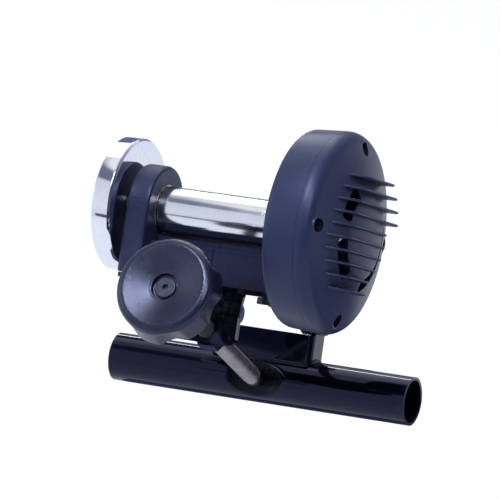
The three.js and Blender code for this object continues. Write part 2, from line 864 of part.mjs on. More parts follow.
// Bearing arm seen from the side: round over the roller, straight down to the cradle's foot
function armOutline() {
  const shape = new THREE.Shape();
  shape.moveTo(-armRadius, 0);
  shape.lineTo(-armRadius, -cradleBottom);
  shape.lineTo(armRadius, -cradleBottom);
  shape.lineTo(armRadius, 0);
  shape.absarc(0, 0, armRadius, 0, Math.PI);
  return shape;
}

// Section of the cradle's box in y and z: a rounded ledge in front, lower than the wall behind it
function cradleSection(front) {
  const shape = new THREE.Shape();
  shape.moveTo(front, -cradleBottom);
  shape.lineTo(cradleBack, -cradleBottom);
  shape.lineTo(cradleBack, -cradleTopBack);
  shape.lineTo(front + cradleLedge, -cradleTopBack);
  shape.lineTo(front + cradleLedge, -cradleTopFront);
  shape.absarc(front + cradleRound, -cradleTopFront - cradleRound, cradleRound, Math.PI / 2, Math.PI);
  return shape;
}

// Right half of the cradle: half of the box under the roller, the arm with its bearing seat, and
// either a full-thickness arm or a round boss that the housing is screwed to
function cradleCasting(hasBoss) {
  const armThick = hasBoss ? armPlateThickness : armThickness;
  let arm = sidePlate(armOutline(), armInside, armInside + armThick, armBevel);
  if (hasBoss) {
    arm = arm.add(disc(armInside + armThick / 2, armOutside, armRadius, fineSides));
  }
  const boxFront = hasBoss ? -cradleFront : -cradleFront + seamStep;
  const boxShape = cradleSection(boxFront);
  const box = sidePlate(boxShape, seatGap / 2, armInside + armBevel, cradleBevel);
  const trough = disc(-overrun, armInside, troughRadius, fineSides);
  const seat = disc(armInside - overrun, bearingOutside + seatGap, bearingRadius + turnGap);
  const through = disc(armInside, armOutside + overrun, hubRadius + axleHoleGap, middleSides);
  let body = arm.add(box.subtract(trough)).subtract(seat).subtract(through);
  for (const y of [-cradleBoltFront, cradleBoltBack]) {
    const top = cradleBoltBite + seatGap - cradleBottom;
    const hole = disc(-cradleBottom - overrun, top, cradleBoltRadius + turnGap, coarseSides);
    body = body.subtract(move(hole.rotate([0, -90, 0]), cradleBoltAside, y, 0));
  }
  if (hasBoss) {
    const tapFrom = armOutside - shellScrewBite;
    const tapped = disc(tapFrom, armOutside + overrun, shellScrewRadius + turnGap, coarseSides);
    return body.subtract(aroundX(move(tapped, 0, shellScrewCircle, 0), shellScrews, Math.PI / 2));
  }
  return body;
}

function coverScrewAngle(i) {
  return (i * 2 * Math.PI) / coverScrews;
}

// Cup that carries the brake; a recess in its back wall fits over the round boss of the right arm
function backShell() {
  const inner = housingRadius - housingWall;
  const wallTo = shellBack + housingWall;
  const island = recessInside + housingWall;
  const floorFrom = islandTop - housingWall;
  const backRadius = housingRadius - shellDraft;
  const backRound = [];
  const roundSteps = 3;
  for (let i = 0; i <= roundSteps; i += 1) {
    const angle = (i / roundSteps) * (Math.PI / 2);
    const x = shellBack + shellBackRound * (1 - Math.cos(angle));
    backRound.push([x, backRadius - shellBackRound * (1 - Math.sin(angle))]);
  }
  const cup = turned([
    [shellBack, recessInside],
    ...backRound,
    [seamX, housingRadius],
    [seamX, inner],
    [seamX - 2 * coverLip, inner],
    [wallTo + shellBackRound / 2, inner - shellDraft],
    [wallTo, inner - shellBackRound],
    [wallTo, island],
    [islandTop, island],
    [islandTop, shellHoleRadius],
    [floorFrom, shellHoleRadius],
    [floorFrom, recessInside],
    [shellBack, recessInside],
  ], fineSides);
  const postTo = seamX - coverBossLength / 2;
  const post = disc(shellBack + housingWall / 2, postTo, postRadius, coarseSides);
  const pilotFrom = postTo - coverScrewBite - seatGap;
  const pilot = disc(pilotFrom, postTo + overrun, coverScrewRadius + turnGap, coarseSides);
  const posts = aroundX(move(post, 0, coverScrewCircle, 0), coverScrews, -coverTwist);
  const pilots = aroundX(move(pilot, 0, coverScrewCircle, 0), coverScrews, -coverTwist);
  const headHeight = shellScrewHeadThickness;
  const seat = countersink(islandTop, shellScrewHeadRadius, shellScrewRadius, headHeight, turnGap);
  const screwHole = disc(armOutside, islandTop + overrun, shellScrewRadius + turnGap, coarseSides);
  const screwHoles = aroundX(move(screwHole.add(seat), 0, shellScrewCircle, 0), shellScrews, Math.PI / 2);
  return cup.add(posts).subtract(pilots).subtract(screwHoles);
}

// x of the cover's outer surface at a radius: shoulder arc, cone, then a shallow dome
function coverSurface(radius) {
  if (radius >= coneRadius) {
    const fromCentre = radius - housingRadius + coverShoulder;
    return coverSide + Math.sqrt(Math.max(0, coverShoulder ** 2 - fromCentre ** 2));
  }
  if (radius >= coverDomeRadius) {
    return coneX + (coneRadius - radius) * Math.tan(coverConeAngle);
  }
  const share = radius / coverDomeRadius;
  return domeX + coverDomeRise * (1 - share ** 2);
}

function coverProfile() {
  const lipFrom = seamX - coverLip;
  const lipOuter = housingRadius - housingWall - seatGap;
  const lipInner = lipOuter - coverLipWall;
  const outer = [[seamX + seatGap, lipOuter], [seamX + seatGap, housingRadius]];
  const shoulderSteps = 4;
  const shoulderSpan = Math.PI / 2 - coverConeAngle;
  for (let i = 0; i <= shoulderSteps; i += 1) {
    const angle = (i / shoulderSteps) * shoulderSpan;
    const radius = housingRadius - coverShoulder + coverShoulder * Math.cos(angle);
    outer.push([coverSide + coverShoulder * Math.sin(angle), radius]);
  }
  const domeSteps = 3;
  for (let i = 0; i <= domeSteps; i += 1) {
    const radius = coverDomeRadius * (1 - i / domeSteps);
    outer.push([coverSurface(radius), radius]);
  }
  const inner = [];
  for (let i = domeSteps; i >= 0; i -= 1) {
    const radius = coverDomeRadius * (1 - i / domeSteps);
    inner.push([coverSurface(radius) - housingWall, radius]);
  }
  inner.push([coneX - housingWall, coneRadius - housingWall]);
  inner.push([seamX + seatGap, lipInner]);
  inner.push([lipFrom, lipInner]);
  inner.push([lipFrom, lipOuter]);
  inner.push([seamX + seatGap, lipOuter]);
  return [...outer, ...inner];
}

// One cooling fin in its own plane: it rises from the cone, runs flat over the dome and ends
// either at the dome's far edge or, on the long ones, beyond it on the far side of the cone
function finBody(z, isLong) {
  const nearY = -Math.sqrt((z > 0 ? finReach : finReachLow) ** 2 - z ** 2);
  const domeEnd = Math.sqrt(Math.max(coverDomeRadius ** 2 - z ** 2, finPitch ** 2));
  const farY = isLong ? -nearY : domeEnd;
  const root = (y) => coverSurface(Math.hypot(y, z)) - housingWall / 2;
  const crest = crestX + finProud;
  const rise = coverDomeRadius / 2;
  const shape = new THREE.Shape();
  shape.moveTo(root(nearY), nearY);
  shape.quadraticCurveTo(crest, nearY + rise / 2, crest, nearY + rise);
  shape.lineTo(crest, farY - finPitch);
  shape.quadraticCurveTo(crest, farY, root(farY), farY);
  const steps = 5;
  for (let i = 1; i < steps; i += 1) {
    const y = farY + ((nearY - farY) * i) / steps;
    shape.lineTo(root(y), y);
  }
  const options = { depth: finThickness, bevelEnabled: false, curveSegments: 4 };
  const geometry = new THREE.ExtrudeGeometry(shape, options);
  return move(solid(geometry), 0, 0, z - finThickness / 2);
}

function finPlace(i) {
  return ((finCount - 1) / 2 - i) * finPitch;
}

// Vent through the cone round the dome, between two angles measured from +y towards +z
function vent(start, end) {
  const shape = new THREE.Shape();
  shape.absarc(0, 0, ventOuterRadius, start, end);
  shape.absarc(0, 0, ventInnerRadius, end, start, true);
  return sidePlate(shape, seamX, crestX + finProud);
}

function finnedCover() {
  let body = turned(coverProfile(), fineSides);
  const bossFrom = seamX - coverBossLength / 2 + seatGap;
  const bossTo = coverSurface(coverScrewCircle + bossRadius) - seatGap;
  const floor = bossFrom + housingWall;
  const boss = disc(bossFrom, bossTo, bossRadius, coarseSides);
  const counterbore = disc(floor, crestX + finProud + overrun, counterboreRadius, coarseSides);
  const screwHole = disc(bossFrom - overrun, floor + overrun, coverScrewRadius + turnGap, coarseSides);
  body = body.add(aroundX(move(boss, 0, coverScrewCircle, 0), coverScrews));
  for (const [from, to] of ventAngles) {
    body = body.subtract(vent(from, to));
  }
  for (let i = 0; i < finCount; i += 1) {
    body = body.add(finBody(finPlace(i), i < longFins));
  }
  body = body.subtract(aroundX(move(counterbore, 0, coverScrewCircle, 0), coverScrews));
  return body.subtract(aroundX(move(screwHole, 0, coverScrewCircle, 0), coverScrews));
}

function coverScrew() {
  const floor = seamX - coverBossLength / 2 + seatGap + housingWall + seatGap;
  const tip = floor - housingWall - coverScrewBite;
  const head = turned([
    [floor, 0],
    [floor, coverScrewHeadRadius],
    [floor + coverScrewHeadThickness / 2, coverScrewHeadRadius],
    [floor + coverScrewHeadThickness, coverScrewHeadRadius / 2],
    [floor + coverScrewHeadThickness, 0],
  ], coarseSides);
  const socketFrom = floor + coverScrewHeadThickness / 3;
  const socket = hexagon(socketFrom, floor + 2 * coverScrewHeadThickness, coverScrewRadius);
  return head.add(disc(tip, floor + seatGap, coverScrewRadius, coarseSides)).subtract(socket);
}

function shellScrew() {
  const neck = islandTop - shellScrewHeadThickness;
  const body = turned([
    [armOutside - shellScrewBite + seatGap, 0],
    [armOutside - shellScrewBite + seatGap, shellScrewRadius],
    [neck, shellScrewRadius],
    [islandTop, shellScrewHeadRadius],
    [islandTop, 0],
  ], coarseSides);
  const socketFrom = islandTop - shellScrewHeadThickness / 2;
  return body.subtract(hexagon(socketFrom, islandTop + overrun, shellScrewRadius));
}

const carrierFrom = shellBack + housingWall + seatGap;
const magnetFrom = carrierFrom + carrierThickness + seatGap;
const discFrom = magnetFrom + magnetThickness + brakeAirGap;
const fanFrom = discFrom + brakeDiscThickness + seatGap;
const fanNutFrom = fanFrom + fanPlate + seatGap;
const fanNutTo = fanNutFrom + axleNutThickness;

function brakeDisc() {
  const bore = axleRadius + turnGap;
  const hubFrom = bearingOutside + seatGap;
  return turned([
    [hubFrom, bore],
    [hubFrom, hubRadius],
    [discFrom, hubRadius],
    [discFrom, brakeDiscRadius],
    [discFrom + brakeDiscThickness, brakeDiscRadius],
    [discFrom + brakeDiscThickness, bore],
    [hubFrom, bore],
  ], fineSides);
}

function coolingFan() {
  const plate = ring(fanFrom, fanFrom + fanPlate, fanRadius - fanPlate, axleRadius + turnGap, fineSides);
  const hubClear = hexCorner(axleNutFlats) + fanPlate;
  const blade = block(
    fanFrom + fanPlate / 2,
    fanFrom + fanPlate + fanBladeHeight,
    hubClear,
    fanRadius - 2 * fanPlate,
    -fanBladeSheet / 2,
    fanBladeSheet / 2,
  );
  return plate.add(aroundX(blade, fanBlades));
}

// Assembly
const unit = new THREE.Group();
unit.name = 'trainer_resistance_unit';

const leaning = addGroup(unit, 0, 0, 0);
leaning.rotation.x = -unitLean;

addPart(leaning, 'cross_tube', crossTube(), paintedSteel);
addPart(leaning, 'frame_bracket', frameBracket(), paintedSteel);
addPart(leaning, 'swing_bracket', swingBracket(), paintedSteel);

const pivotLine = addGroup(leaning, 0, 0, pivotHeight);
for (const [side, word] of [[-1, 'left'], [1, 'right']]) {
  addPart(pivotLine, `pivot_bolt_${word}`, pivotBolt(side), zincSteel);
  addPart(pivotLine, `pivot_bush_${word}`, pivotBush(side), nylon);
  addPart(pivotLine, `pivot_washer_${word}`, pivotWasher(side), zincSteel);
  addPart(pivotLine, `pivot_nut_${word}`, pivotNut(side), zincSteel);
}

const screwLine = addGroup(leaning, 0, footSeatY, footSeatZ);
screwLine.rotation.set(-screwDip, 0, Math.PI / 2);
addPart(screwLine, 'tension_nut', tensionNut(), paintedSteel);
addPart(screwLine, 'tension_screw', tensionScrew(), threadSteel);
addPart(screwLine, 'screw_foot', screwFoot(), threadSteel);
addPart(screwLine, 'tension_knob', tensionKnob(), grainedPlastic);
addPart(screwLine, 'knob_cap_screw', knobCapScrew(), blackBolt);

cradleBoltPlaces.forEach(([x, y], i) => {
  const bolt = addPart(leaning, `cradle_bolt_${i + 1}`, cradleBolt(), blackBolt);
  bolt.position.set(x, y, 0);
});

const rollerLine = addGroup(leaning, 0, -rollerForward, rollerHeight);
addPart(rollerLine, 'cradle_casting_left', cradleCasting(false).mirror([1, 0, 0]), satinCasting);
addPart(rollerLine, 'cradle_casting_right', cradleCasting(true), satinCasting);
addPart(rollerLine, 'axle', axle(), groundSteel);
addPart(rollerLine, 'roller_sleeve', rollerSleeve(), chrome);
addPart(rollerLine, 'flywheel', flywheel(), chrome);

const spacerFrom = flywheelFace + seatGap;
const spacerTo = -bearingOutside - seatGap;
const spacer = ring(spacerFrom, spacerTo, hubRadius, axleRadius + turnGap);
addPart(rollerLine, 'flywheel_spacer', spacer, groundSteel);

for (const [side, word] of [[-1, 'left'], [1, 'right']]) {
  const seat = addGroup(rollerLine, side * bearingFace, 0, 0);
  seat.rotation.z = side < 0 ? Math.PI : 0;
  addPart(seat, `bearing_outer_ring_${word}`, bearingOuterRing(), bearingSteel);
  addPart(seat, `bearing_inner_ring_${word}`, bearingInnerRing(), bearingSteel);
  addPart(seat, `bearing_cage_${word}`, bearingCage(), bearingSteel);
  addPart(seat, `bearing_seal_${word}`, bearingSeal(), bearingSteel);
}

const washerTo = flywheelBack + flywheelRecessDepth - seatGap;
const flywheelWasher = ring(washerTo - axleWasherThickness, washerTo, axleWasherRadius, axleRadius + turnGap);
addPart(rollerLine, 'flywheel_washer', flywheelWasher, zincSteel);
const flywheelNutFrom = washerTo - axleWasherThickness - seatGap - axleNutThickness;
addPart(rollerLine, 'flywheel_nut', axleNut(flywheelNutFrom), zincSteel);
addPart(rollerLine, 'fan_nut', axleNut(fanNutFrom), zincSteel);

addPart(rollerLine, 'brake_disc', brakeDisc(), aluminium);
addPart(rollerLine, 'cooling_fan', coolingFan(), satinPlastic);
const carrierTo = carrierFrom + carrierThickness;
const carrier = ring(carrierFrom, carrierTo, carrierRadius, carrierHoleRadius, fineSides);
addPart(rollerLine, 'magnet_carrier', carrier, zincSteel);
for (let i = 0; i < magnets; i += 1) {
  const magnet = disc(magnetFrom, magnetFrom + magnetThickness, magnetRadius, coarseSides);
  const mesh = addPart(rollerLine, `brake_magnet_${i + 1}`, magnet, magnetNickel);
  const angle = (i * 2 * Math.PI) / magnets;
  mesh.position.set(0, magnetCircle * Math.cos(angle), magnetCircle * Math.sin(angle));
}

addPart(rollerLine, 'back_shell', backShell(), satinPlastic);
for (let i = 0; i < shellScrews; i += 1) {
  const mesh = addPart(rollerLine, `shell_screw_${i + 1}`, shellScrew(), zincSteel);
  const angle = Math.PI / 2 + (i * 2 * Math.PI) / shellScrews;
  mesh.position.set(0, shellScrewCircle * Math.cos(angle), shellScrewCircle * Math.sin(angle));
}

const coverLine = addGroup(rollerLine, 0, 0, 0);
coverLine.rotation.x = -coverTwist;
addPart(coverLine, 'finned_cover', finnedCover(), satinPlastic);
for (let i = 0; i < coverScrews; i += 1) {
  const mesh = addPart(coverLine, `cover_screw_${i + 1}`, coverScrew(), blackBolt);
  const angle = coverScrewAngle(i);
  mesh.position.set(0, coverScrewCircle * Math.cos(angle), coverScrewCircle * Math.sin(angle));
}

export default unit;
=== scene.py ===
"""Looks of a roller resistance unit of an indoor bicycle trainer, on the cross tube that carries it.

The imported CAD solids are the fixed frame. Round, threaded, lobed and finned pieces are rebuilt here
as smooth surfaces from the same sizes; the other solids keep their shape and get rounded edges.
Sizes are millimetres on the unit's own lines, which Station turns and moves into the frame. The
stage, its lamps and its cards are placed in metres.
"""
import json
import logging
import math
from dataclasses import dataclass, field
from enum import Enum

import bmesh
import bpy
import numpy as np
from mathutils import Matrix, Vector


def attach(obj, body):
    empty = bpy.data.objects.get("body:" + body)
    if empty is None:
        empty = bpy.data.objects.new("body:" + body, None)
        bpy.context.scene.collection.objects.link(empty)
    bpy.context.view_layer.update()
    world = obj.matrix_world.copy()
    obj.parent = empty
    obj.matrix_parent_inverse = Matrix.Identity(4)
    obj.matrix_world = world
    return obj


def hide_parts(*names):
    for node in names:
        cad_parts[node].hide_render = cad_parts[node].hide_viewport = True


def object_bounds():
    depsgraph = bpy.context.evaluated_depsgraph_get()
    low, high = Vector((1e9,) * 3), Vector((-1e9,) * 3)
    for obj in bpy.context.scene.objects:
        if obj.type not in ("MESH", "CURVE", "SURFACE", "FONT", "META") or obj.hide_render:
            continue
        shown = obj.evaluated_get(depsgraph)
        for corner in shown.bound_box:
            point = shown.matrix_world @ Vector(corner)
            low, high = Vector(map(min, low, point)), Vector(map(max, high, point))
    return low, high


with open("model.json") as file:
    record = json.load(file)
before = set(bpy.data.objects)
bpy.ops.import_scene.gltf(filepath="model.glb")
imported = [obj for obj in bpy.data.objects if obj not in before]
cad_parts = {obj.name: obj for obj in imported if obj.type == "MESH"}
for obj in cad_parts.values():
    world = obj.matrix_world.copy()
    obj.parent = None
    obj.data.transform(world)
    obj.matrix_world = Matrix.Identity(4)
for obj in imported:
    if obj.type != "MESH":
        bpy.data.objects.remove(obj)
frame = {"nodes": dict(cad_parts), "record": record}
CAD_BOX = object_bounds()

log = logging.getLogger("resistance_unit")

Array = np.ndarray
Color = tuple[float, float, float]
Place = tuple[float, float, float]
Span = tuple[float, float]
Tree = bpy.types.NodeTree
Node = bpy.types.Node
Socket = bpy.types.NodeSocket
Value = float | Color | Socket
Piece = bpy.types.Object

# A millimetre in metres; the distance in millimetres at which points are one; a length near nothing.
MM = 0.001
MERGE = 0.002
TINY = 1e-12
QUARTER = math.pi / 2


class Body(Enum):
    """The five bodies that the joints move."""

    FRAME = "frame"
    SWING = "swing"
    ROTOR = "rotor"
    FOOT = "foot"
    SCREW = "screw"


class Slot(Enum):
    """The record's material slots."""

    PAINTED_STEEL = "painted_steel"
    SATIN_CASTING = "satin_casting"
    HOUSING_PLASTIC = "housing_plastic"
    KNOB_PLASTIC = "knob_plastic"
    POLISHED_CHROME = "polished_chrome"
    GROUND_STEEL = "ground_steel"
    SCREW_STEEL = "screw_steel"
    ZINC_STEEL = "zinc_steel"
    BLACK_BOLT = "black_bolt"
    BEARING_STEEL = "bearing_steel"
    SEAL_RUBBER = "seal_rubber"
    NYLON = "nylon"
    BRAKE_ALUMINIUM = "brake_aluminium"
    MAGNET_NICKEL = "magnet_nickel"


class Operation(Enum):
    """What a Math node does."""

    ADD = "ADD"
    SUBTRACT = "SUBTRACT"
    MULTIPLY = "MULTIPLY"
    MAXIMUM = "MAXIMUM"
    ABSOLUTE = "ABSOLUTE"


# Places on the unit


def about_x(angle: float) -> Array:
    """Rotation matrix about x, in radians."""
    c, s = math.cos(angle), math.sin(angle)
    return np.array([[1, 0, 0], [0, c, -s], [0, s, c]])


def about_z(angle: float) -> Array:
    """Rotation matrix about z, in radians."""
    c, s = math.cos(angle), math.sin(angle)
    return np.array([[c, -s, 0], [s, c, 0], [0, 0, 1]])


@dataclass(frozen=True)
class Station:
    """A line of the unit with its own axes, in millimetres.

    Attributes:
        turn: 3 by 3 rotation from the line's axes to the frame's.
        origin: Where the line's zero is in the frame.
    """

    turn: Array
    origin: Array

    def world(self, points: Array) -> Array:
        """Points of the line, in metres in the frame: turn the point, add the origin, scale."""
        return (points @ self.turn.T + self.origin) * MM

    def local(self, points: Array) -> Array:
        """Points of the frame, given in metres, in the line's axes and in millimetres."""
        return (points / MM - self.origin) @ self.turn

    def moved(self, offset: Place, turn: Array | None = None) -> "Station":
        """A line placed on this one.

        Args:
            offset: Its origin in this line's axes.
            turn: Its rotation in this line's axes, none if left out.

        Returns:
            The new line.
        """
        own = np.eye(3) if turn is None else turn
        return Station(self.turn @ own, self.origin + self.turn @ np.array(offset, float))


LEAN = math.radians(19.44)
SCREW_DIP = math.radians(18.3)
COVER_TWIST = math.radians(3)
TUBE_RADIUS = 15.9
DIMPLE_DEPTH = 5.0
SEAT_GAP = 0.3
ROLLER_FORWARD = 93.5
ROLLER_HEIGHT = 100.3
SCREW_DROP = 1.5
LEANING = Station(about_x(-LEAN), np.zeros(3))
ROLLER_LINE = LEANING.moved((0, -ROLLER_FORWARD, ROLLER_HEIGHT))
COVER_LINE = ROLLER_LINE.moved((0, 0, 0), about_x(-COVER_TWIST))
SCREW_LINE = LEANING.moved(
    (0, -(TUBE_RADIUS - DIMPLE_DEPTH) - 2 * SEAT_GAP, -SCREW_DROP),
    about_x(-SCREW_DIP) @ about_z(QUARTER),
)


# Shader groups


WHITE = (1.0, 1.0, 1.0)
BLACK = (0.0, 0.0, 0.0)

# Places of the colour sockets on a Mix node.
MIX_FIRST = 6
MIX_SECOND = 7
MIX_RESULT = 2


def feed(tree: Tree, wanted: Value, target: Socket) -> None:
    """Sets a socket to a number or a colour, or links it to the socket that holds its value.

    Args:
        tree: The tree that they are in.
        wanted: A number, a colour or a socket.
        target: The socket to set or to link.
    """
    if isinstance(wanted, Socket):
        tree.links.new(wanted, target)
    elif isinstance(wanted, tuple):
        target.default_value = (*wanted, 1)
    else:
        target.default_value = wanted


def new_group(name: str, values: dict[str, Value], outputs: tuple[str, ...]) -> tuple[Tree, Node, Node]:
    """Makes an empty shader group that reads coordinates and some values.

    Args:
        name: The group's name.
        values: Default of each input but the coordinates, a number or a colour.
        outputs: Name of each output; the one called Color is a colour, the others are numbers.

    Returns:
        The group's tree, its input node and its output node.
    """
    tree = bpy.data.node_groups.new(name, "ShaderNodeTree")
    tree.interface.new_socket(name="Vector", in_out="INPUT", socket_type="NodeSocketVector")
    for label, default in values.items():
        is_color = isinstance(default, tuple)
        kind = "NodeSocketColor" if is_color else "NodeSocketFloat"
        socket = tree.interface.new_socket(name=label, in_out="INPUT", socket_type=kind)
        socket.default_value = (*default, 1) if is_color else default
    for label in outputs:
        kind = "NodeSocketColor" if label == "Color" else "NodeSocketFloat"
        tree.interface.new_socket(name=label, in_out="OUTPUT", socket_type=kind)
    return tree, tree.nodes.new("NodeGroupInput"), tree.nodes.new("NodeGroupOutput")


def place_group(tree: Tree, group: Tree, where: Socket, values: dict[str, Value]) -> Node:
    """Puts a shader group into a tree.

    Args:
        tree: The tree it goes into.
        group: The group.
        where: The coordinates it reads.
        values: Value of each other input.

    Returns:
        The group's node.
    """
    node = tree.nodes.new("ShaderNodeGroup")
    node.node_tree = group
    for name, wanted in {"Vector": where, **values}.items():
        feed(tree, wanted, node.inputs[name])
    return node


def noise(tree: Tree, where: Socket, scale: Value, octaves: float) -> Socket:
    """Adds a noise texture.

    Args:
        tree: The tree it goes into.
        where: The coordinates it reads.
        scale: A number, or the socket that holds the scale.
        octaves: Octaves of noise.

    Returns:
        The noise's value.
    """
    node = tree.nodes.new("ShaderNodeTexNoise")
    for name, wanted in (("Vector", where), ("Scale", scale), ("Detail", octaves)):
        feed(tree, wanted, node.inputs[name])
    return node.outputs["Fac"]


def remap(tree: Tree, value: Socket, span: Span, results: tuple[Value, Value] = (0.0, 1.0)) -> Socket:
    """Adds a clamped Map Range node.

    Args:
        tree: The tree it goes into.
        value: The value to map.
        span: The values that become the first and the second result.
        results: Number or socket for each of the two results.

    Returns:
        The mapped value.
    """
    node = tree.nodes.new("ShaderNodeMapRange")
    names = ("Value", "From Min", "From Max", "To Min", "To Max")
    for name, wanted in zip(names, (value, *span, *results)):
        feed(tree, wanted, node.inputs[name])
    return node.outputs["Result"]


def mix_colors(tree: Tree, amount: Socket, first: Value, second: Value) -> Socket:
    """Adds a colour Mix node.

    Args:
        tree: The tree it goes into.
        amount: Share of the second colour.
        first: Colour or socket.
        second: Colour or socket.

    Returns:
        The mixed colour.
    """
    node = tree.nodes.new("ShaderNodeMix")
    node.data_type = "RGBA"
    for name, wanted in (("Factor", amount), (MIX_FIRST, first), (MIX_SECOND, second)):
        feed(tree, wanted, node.inputs[name])
    return node.outputs[MIX_RESULT]


def worked_out(tree: Tree, operation: Operation, *values: Value) -> Socket:
    """Adds a Math node.

    Args:
        tree: The tree it goes into.
        operation: What it does.
        values: Number or socket for each of its inputs.

    Returns:
        The result.
    """
    node = tree.nodes.new("ShaderNodeMath")
    node.operation = operation.value
    for wanted, socket in zip(values, node.inputs):
        feed(tree, wanted, socket)
    return node.outputs[0]


def product(tree: Tree, first: Value, second: Value) -> Socket:
    """Adds a Math node that multiplies two values, and gives their product."""
    return worked_out(tree, Operation.MULTIPLY, first, second)


def upward(tree: Tree, span: Span) -> Socket:
    """Adds a mask of faces that look up.

    Args:
        tree: The tree it goes into.
        span: z of the face's normal at which the mask is 0 and 1.

    Returns:
        The mask.
    """
    geometry = tree.nodes.new("ShaderNodeNewGeometry")
    split = tree.nodes.new("ShaderNodeSeparateXYZ")
    feed(tree, geometry.outputs["Normal"], split.inputs[0])
    return remap(tree, split.outputs["Z"], span)


@dataclass
class Effects:
    """Shader groups that several finishes place with their own values.

    Attributes:
        fine_share: Share of the grain in the tone; the mottle has the rest.
        grain_octaves: Octaves of the grain.
        mottle_octaves: Octaves of the mottle.
        tone_span: Noise at the dark and at the light tone.
        rough_span: Noise at the lowest and at the highest roughness.
        rub_span: Pointiness where rubbing starts and where it is full.
        rub_scale: Breaks in the rubbing, per metre.
        rub_octaves: Octaves of the breaks.
        rub_breaks: Noise where an edge is left alone and where it is rubbed.
        dust_slope: z of a face's normal where dust starts to lie and where it lies full.
        dust_scale: Patches of dust, per metre.
        dust_octaves: Octaves of the patches.
        dust_patches: Noise in a clean and in a dusty patch.
        roller_shade_slope: As dust_slope, for the painted shade under the roller.
        roller_shade_edge: Half the width of the painted shade's edge, in metres.
        grain: Group with the tone, roughness and height of a surface.
        wear: Group with the mask of rubbed edges.
        dust: Group with the mask of settled dust.
        roller_shade: Group with the mask of the painted shade under the roller.
    """

    fine_share: float = 0.45
    grain_octaves: float = 2.0
    mottle_octaves: float = 4.0
    tone_span: Span = (0.34, 0.66)
    rough_span: Span = (0.32, 0.68)
    rub_span: Span = (0.52, 0.62)
    rub_scale: float = 260.0
    rub_octaves: float = 3.0
    rub_breaks: Span = (0.4, 0.7)
    dust_slope: Span = (0.35, 0.95)
    dust_scale: float = 55.0
    dust_octaves: float = 5.0
    dust_patches: Span = (0.35, 0.75)
    roller_shade_slope: Span = (0.08, 0.4)
    roller_shade_edge: float = 0.001
    grain: Tree = field(init=False)
    wear: Tree = field(init=False)
    dust: Tree = field(init=False)
    roller_shade: Tree = field(init=False)

    def __post_init__(self) -> None:
        """Makes the four groups once."""
        self.grain = self._grain()
        self.wear = self._wear()
        self.dust = self._dust()
        self.roller_shade = self._roller_shade()

    def _grain(self) -> Tree:
        """Two sizes of noise that shade the tone, the roughness and the height of a surface.

        Returns:
            The group.
        """
        tree, start, end = new_group(
            "grain_and_mottle",
            {"Grain Scale": 900.0, "Mottle Scale": 40.0, "Dark Tone": BLACK, "Light Tone": WHITE,
             "Low Roughness": 0.3, "High Roughness": 0.5},
            ("Color", "Roughness", "Height"),
        )
        given = start.outputs
        fine = noise(tree, given["Vector"], given["Grain Scale"], self.grain_octaves)
        coarse = noise(tree, given["Vector"], given["Mottle Scale"], self.mottle_octaves)
        fine_part = product(tree, fine, self.fine_share)
        coarse_part = product(tree, coarse, 1 - self.fine_share)
        share = remap(tree, worked_out(tree, Operation.ADD, fine_part, coarse_part), self.tone_span)
        color = mix_colors(tree, share, given["Dark Tone"], given["Light Tone"])
        rough = remap(tree, coarse, self.rough_span, (given["Low Roughness"], given["High Roughness"]))
        for name, result in (("Color", color), ("Roughness", rough), ("Height", fine)):
            feed(tree, result, end.inputs[name])
        return tree

    def _wear(self) -> Tree:
        """Mask of rubbed edges: the mesh's convex edges, broken up by noise.

        Returns:
            The group.
        """
        tree, start, end = new_group("rubbed_edges", {"Amount": 0.5}, ("Mask",))
        geometry = tree.nodes.new("ShaderNodeNewGeometry")
        edge = remap(tree, geometry.outputs["Pointiness"], self.rub_span)
        spots = noise(tree, start.outputs["Vector"], self.rub_scale, self.rub_octaves)
        rubbed = product(tree, edge, remap(tree, spots, self.rub_breaks))
        feed(tree, product(tree, rubbed, start.outputs["Amount"]), end.inputs["Mask"])
        return tree

    def _dust(self) -> Tree:
        """Mask of dust that lies on faces looking up, in soft patches.

        Returns:
            The group.
        """
        tree, start, end = new_group("settled_dust", {"Amount": 0.3}, ("Mask",))
        spots = noise(tree, start.outputs["Vector"], self.dust_scale, self.dust_octaves)
        patches = remap(tree, spots, self.dust_patches)
        settled = product(tree, upward(tree, self.dust_slope), patches)
        feed(tree, product(tree, settled, start.outputs["Amount"]), end.inputs["Mask"])
        return tree

    def _roller_shade(self) -> Tree:
        """Mask of painted shade under the roller, on faces looking up.

        Returns:
            The group.
        """
        tree, start, end = new_group("roller_shade", {"Half Length": 0.04}, ("Mask",))
        place = tree.nodes.new("ShaderNodeSeparateXYZ")
        feed(tree, start.outputs["Vector"], place.inputs[0])
        aside = worked_out(tree, Operation.ABSOLUTE, place.outputs["X"])
        past = worked_out(tree, Operation.SUBTRACT, aside, start.outputs["Half Length"])
        within = remap(tree, past, (-self.roller_shade_edge, self.roller_shade_edge), (1.0, 0.0))
        feed(tree, product(tree, within, upward(tree, self.roller_shade_slope)), end.inputs["Mask"])
        return tree


@dataclass(frozen=True)
class Film:
    """Dust, or painted shade, that lies on a finish.

    Attributes:
        tone: Its colour.
        roughness: What it adds to the roughness.
    """

    tone: Color
    roughness: float

    def over(self, tree: Tree, mask: Socket, color: Socket, rough: Socket) -> tuple[Socket, Socket]:
        """Lays the film on a surface.

        Args:
            tree: The material's tree.
            mask: 1 where the film lies.
            color: The surface's colour.
            rough: The surface's roughness.

        Returns:
            Colour and roughness with the film.
        """
        added = product(tree, mask, self.roughness)
        return mix_colors(tree, mask, color, self.tone), worked_out(tree, Operation.ADD, rough, added)


ROOM_DUST = Film((0.30, 0.31, 0.34), 0.6)
# Near-black, duller film: painted shade under the roller.
ROLLER_SHADE_FILM = Film((0.004, 0.005, 0.018), 0.54)


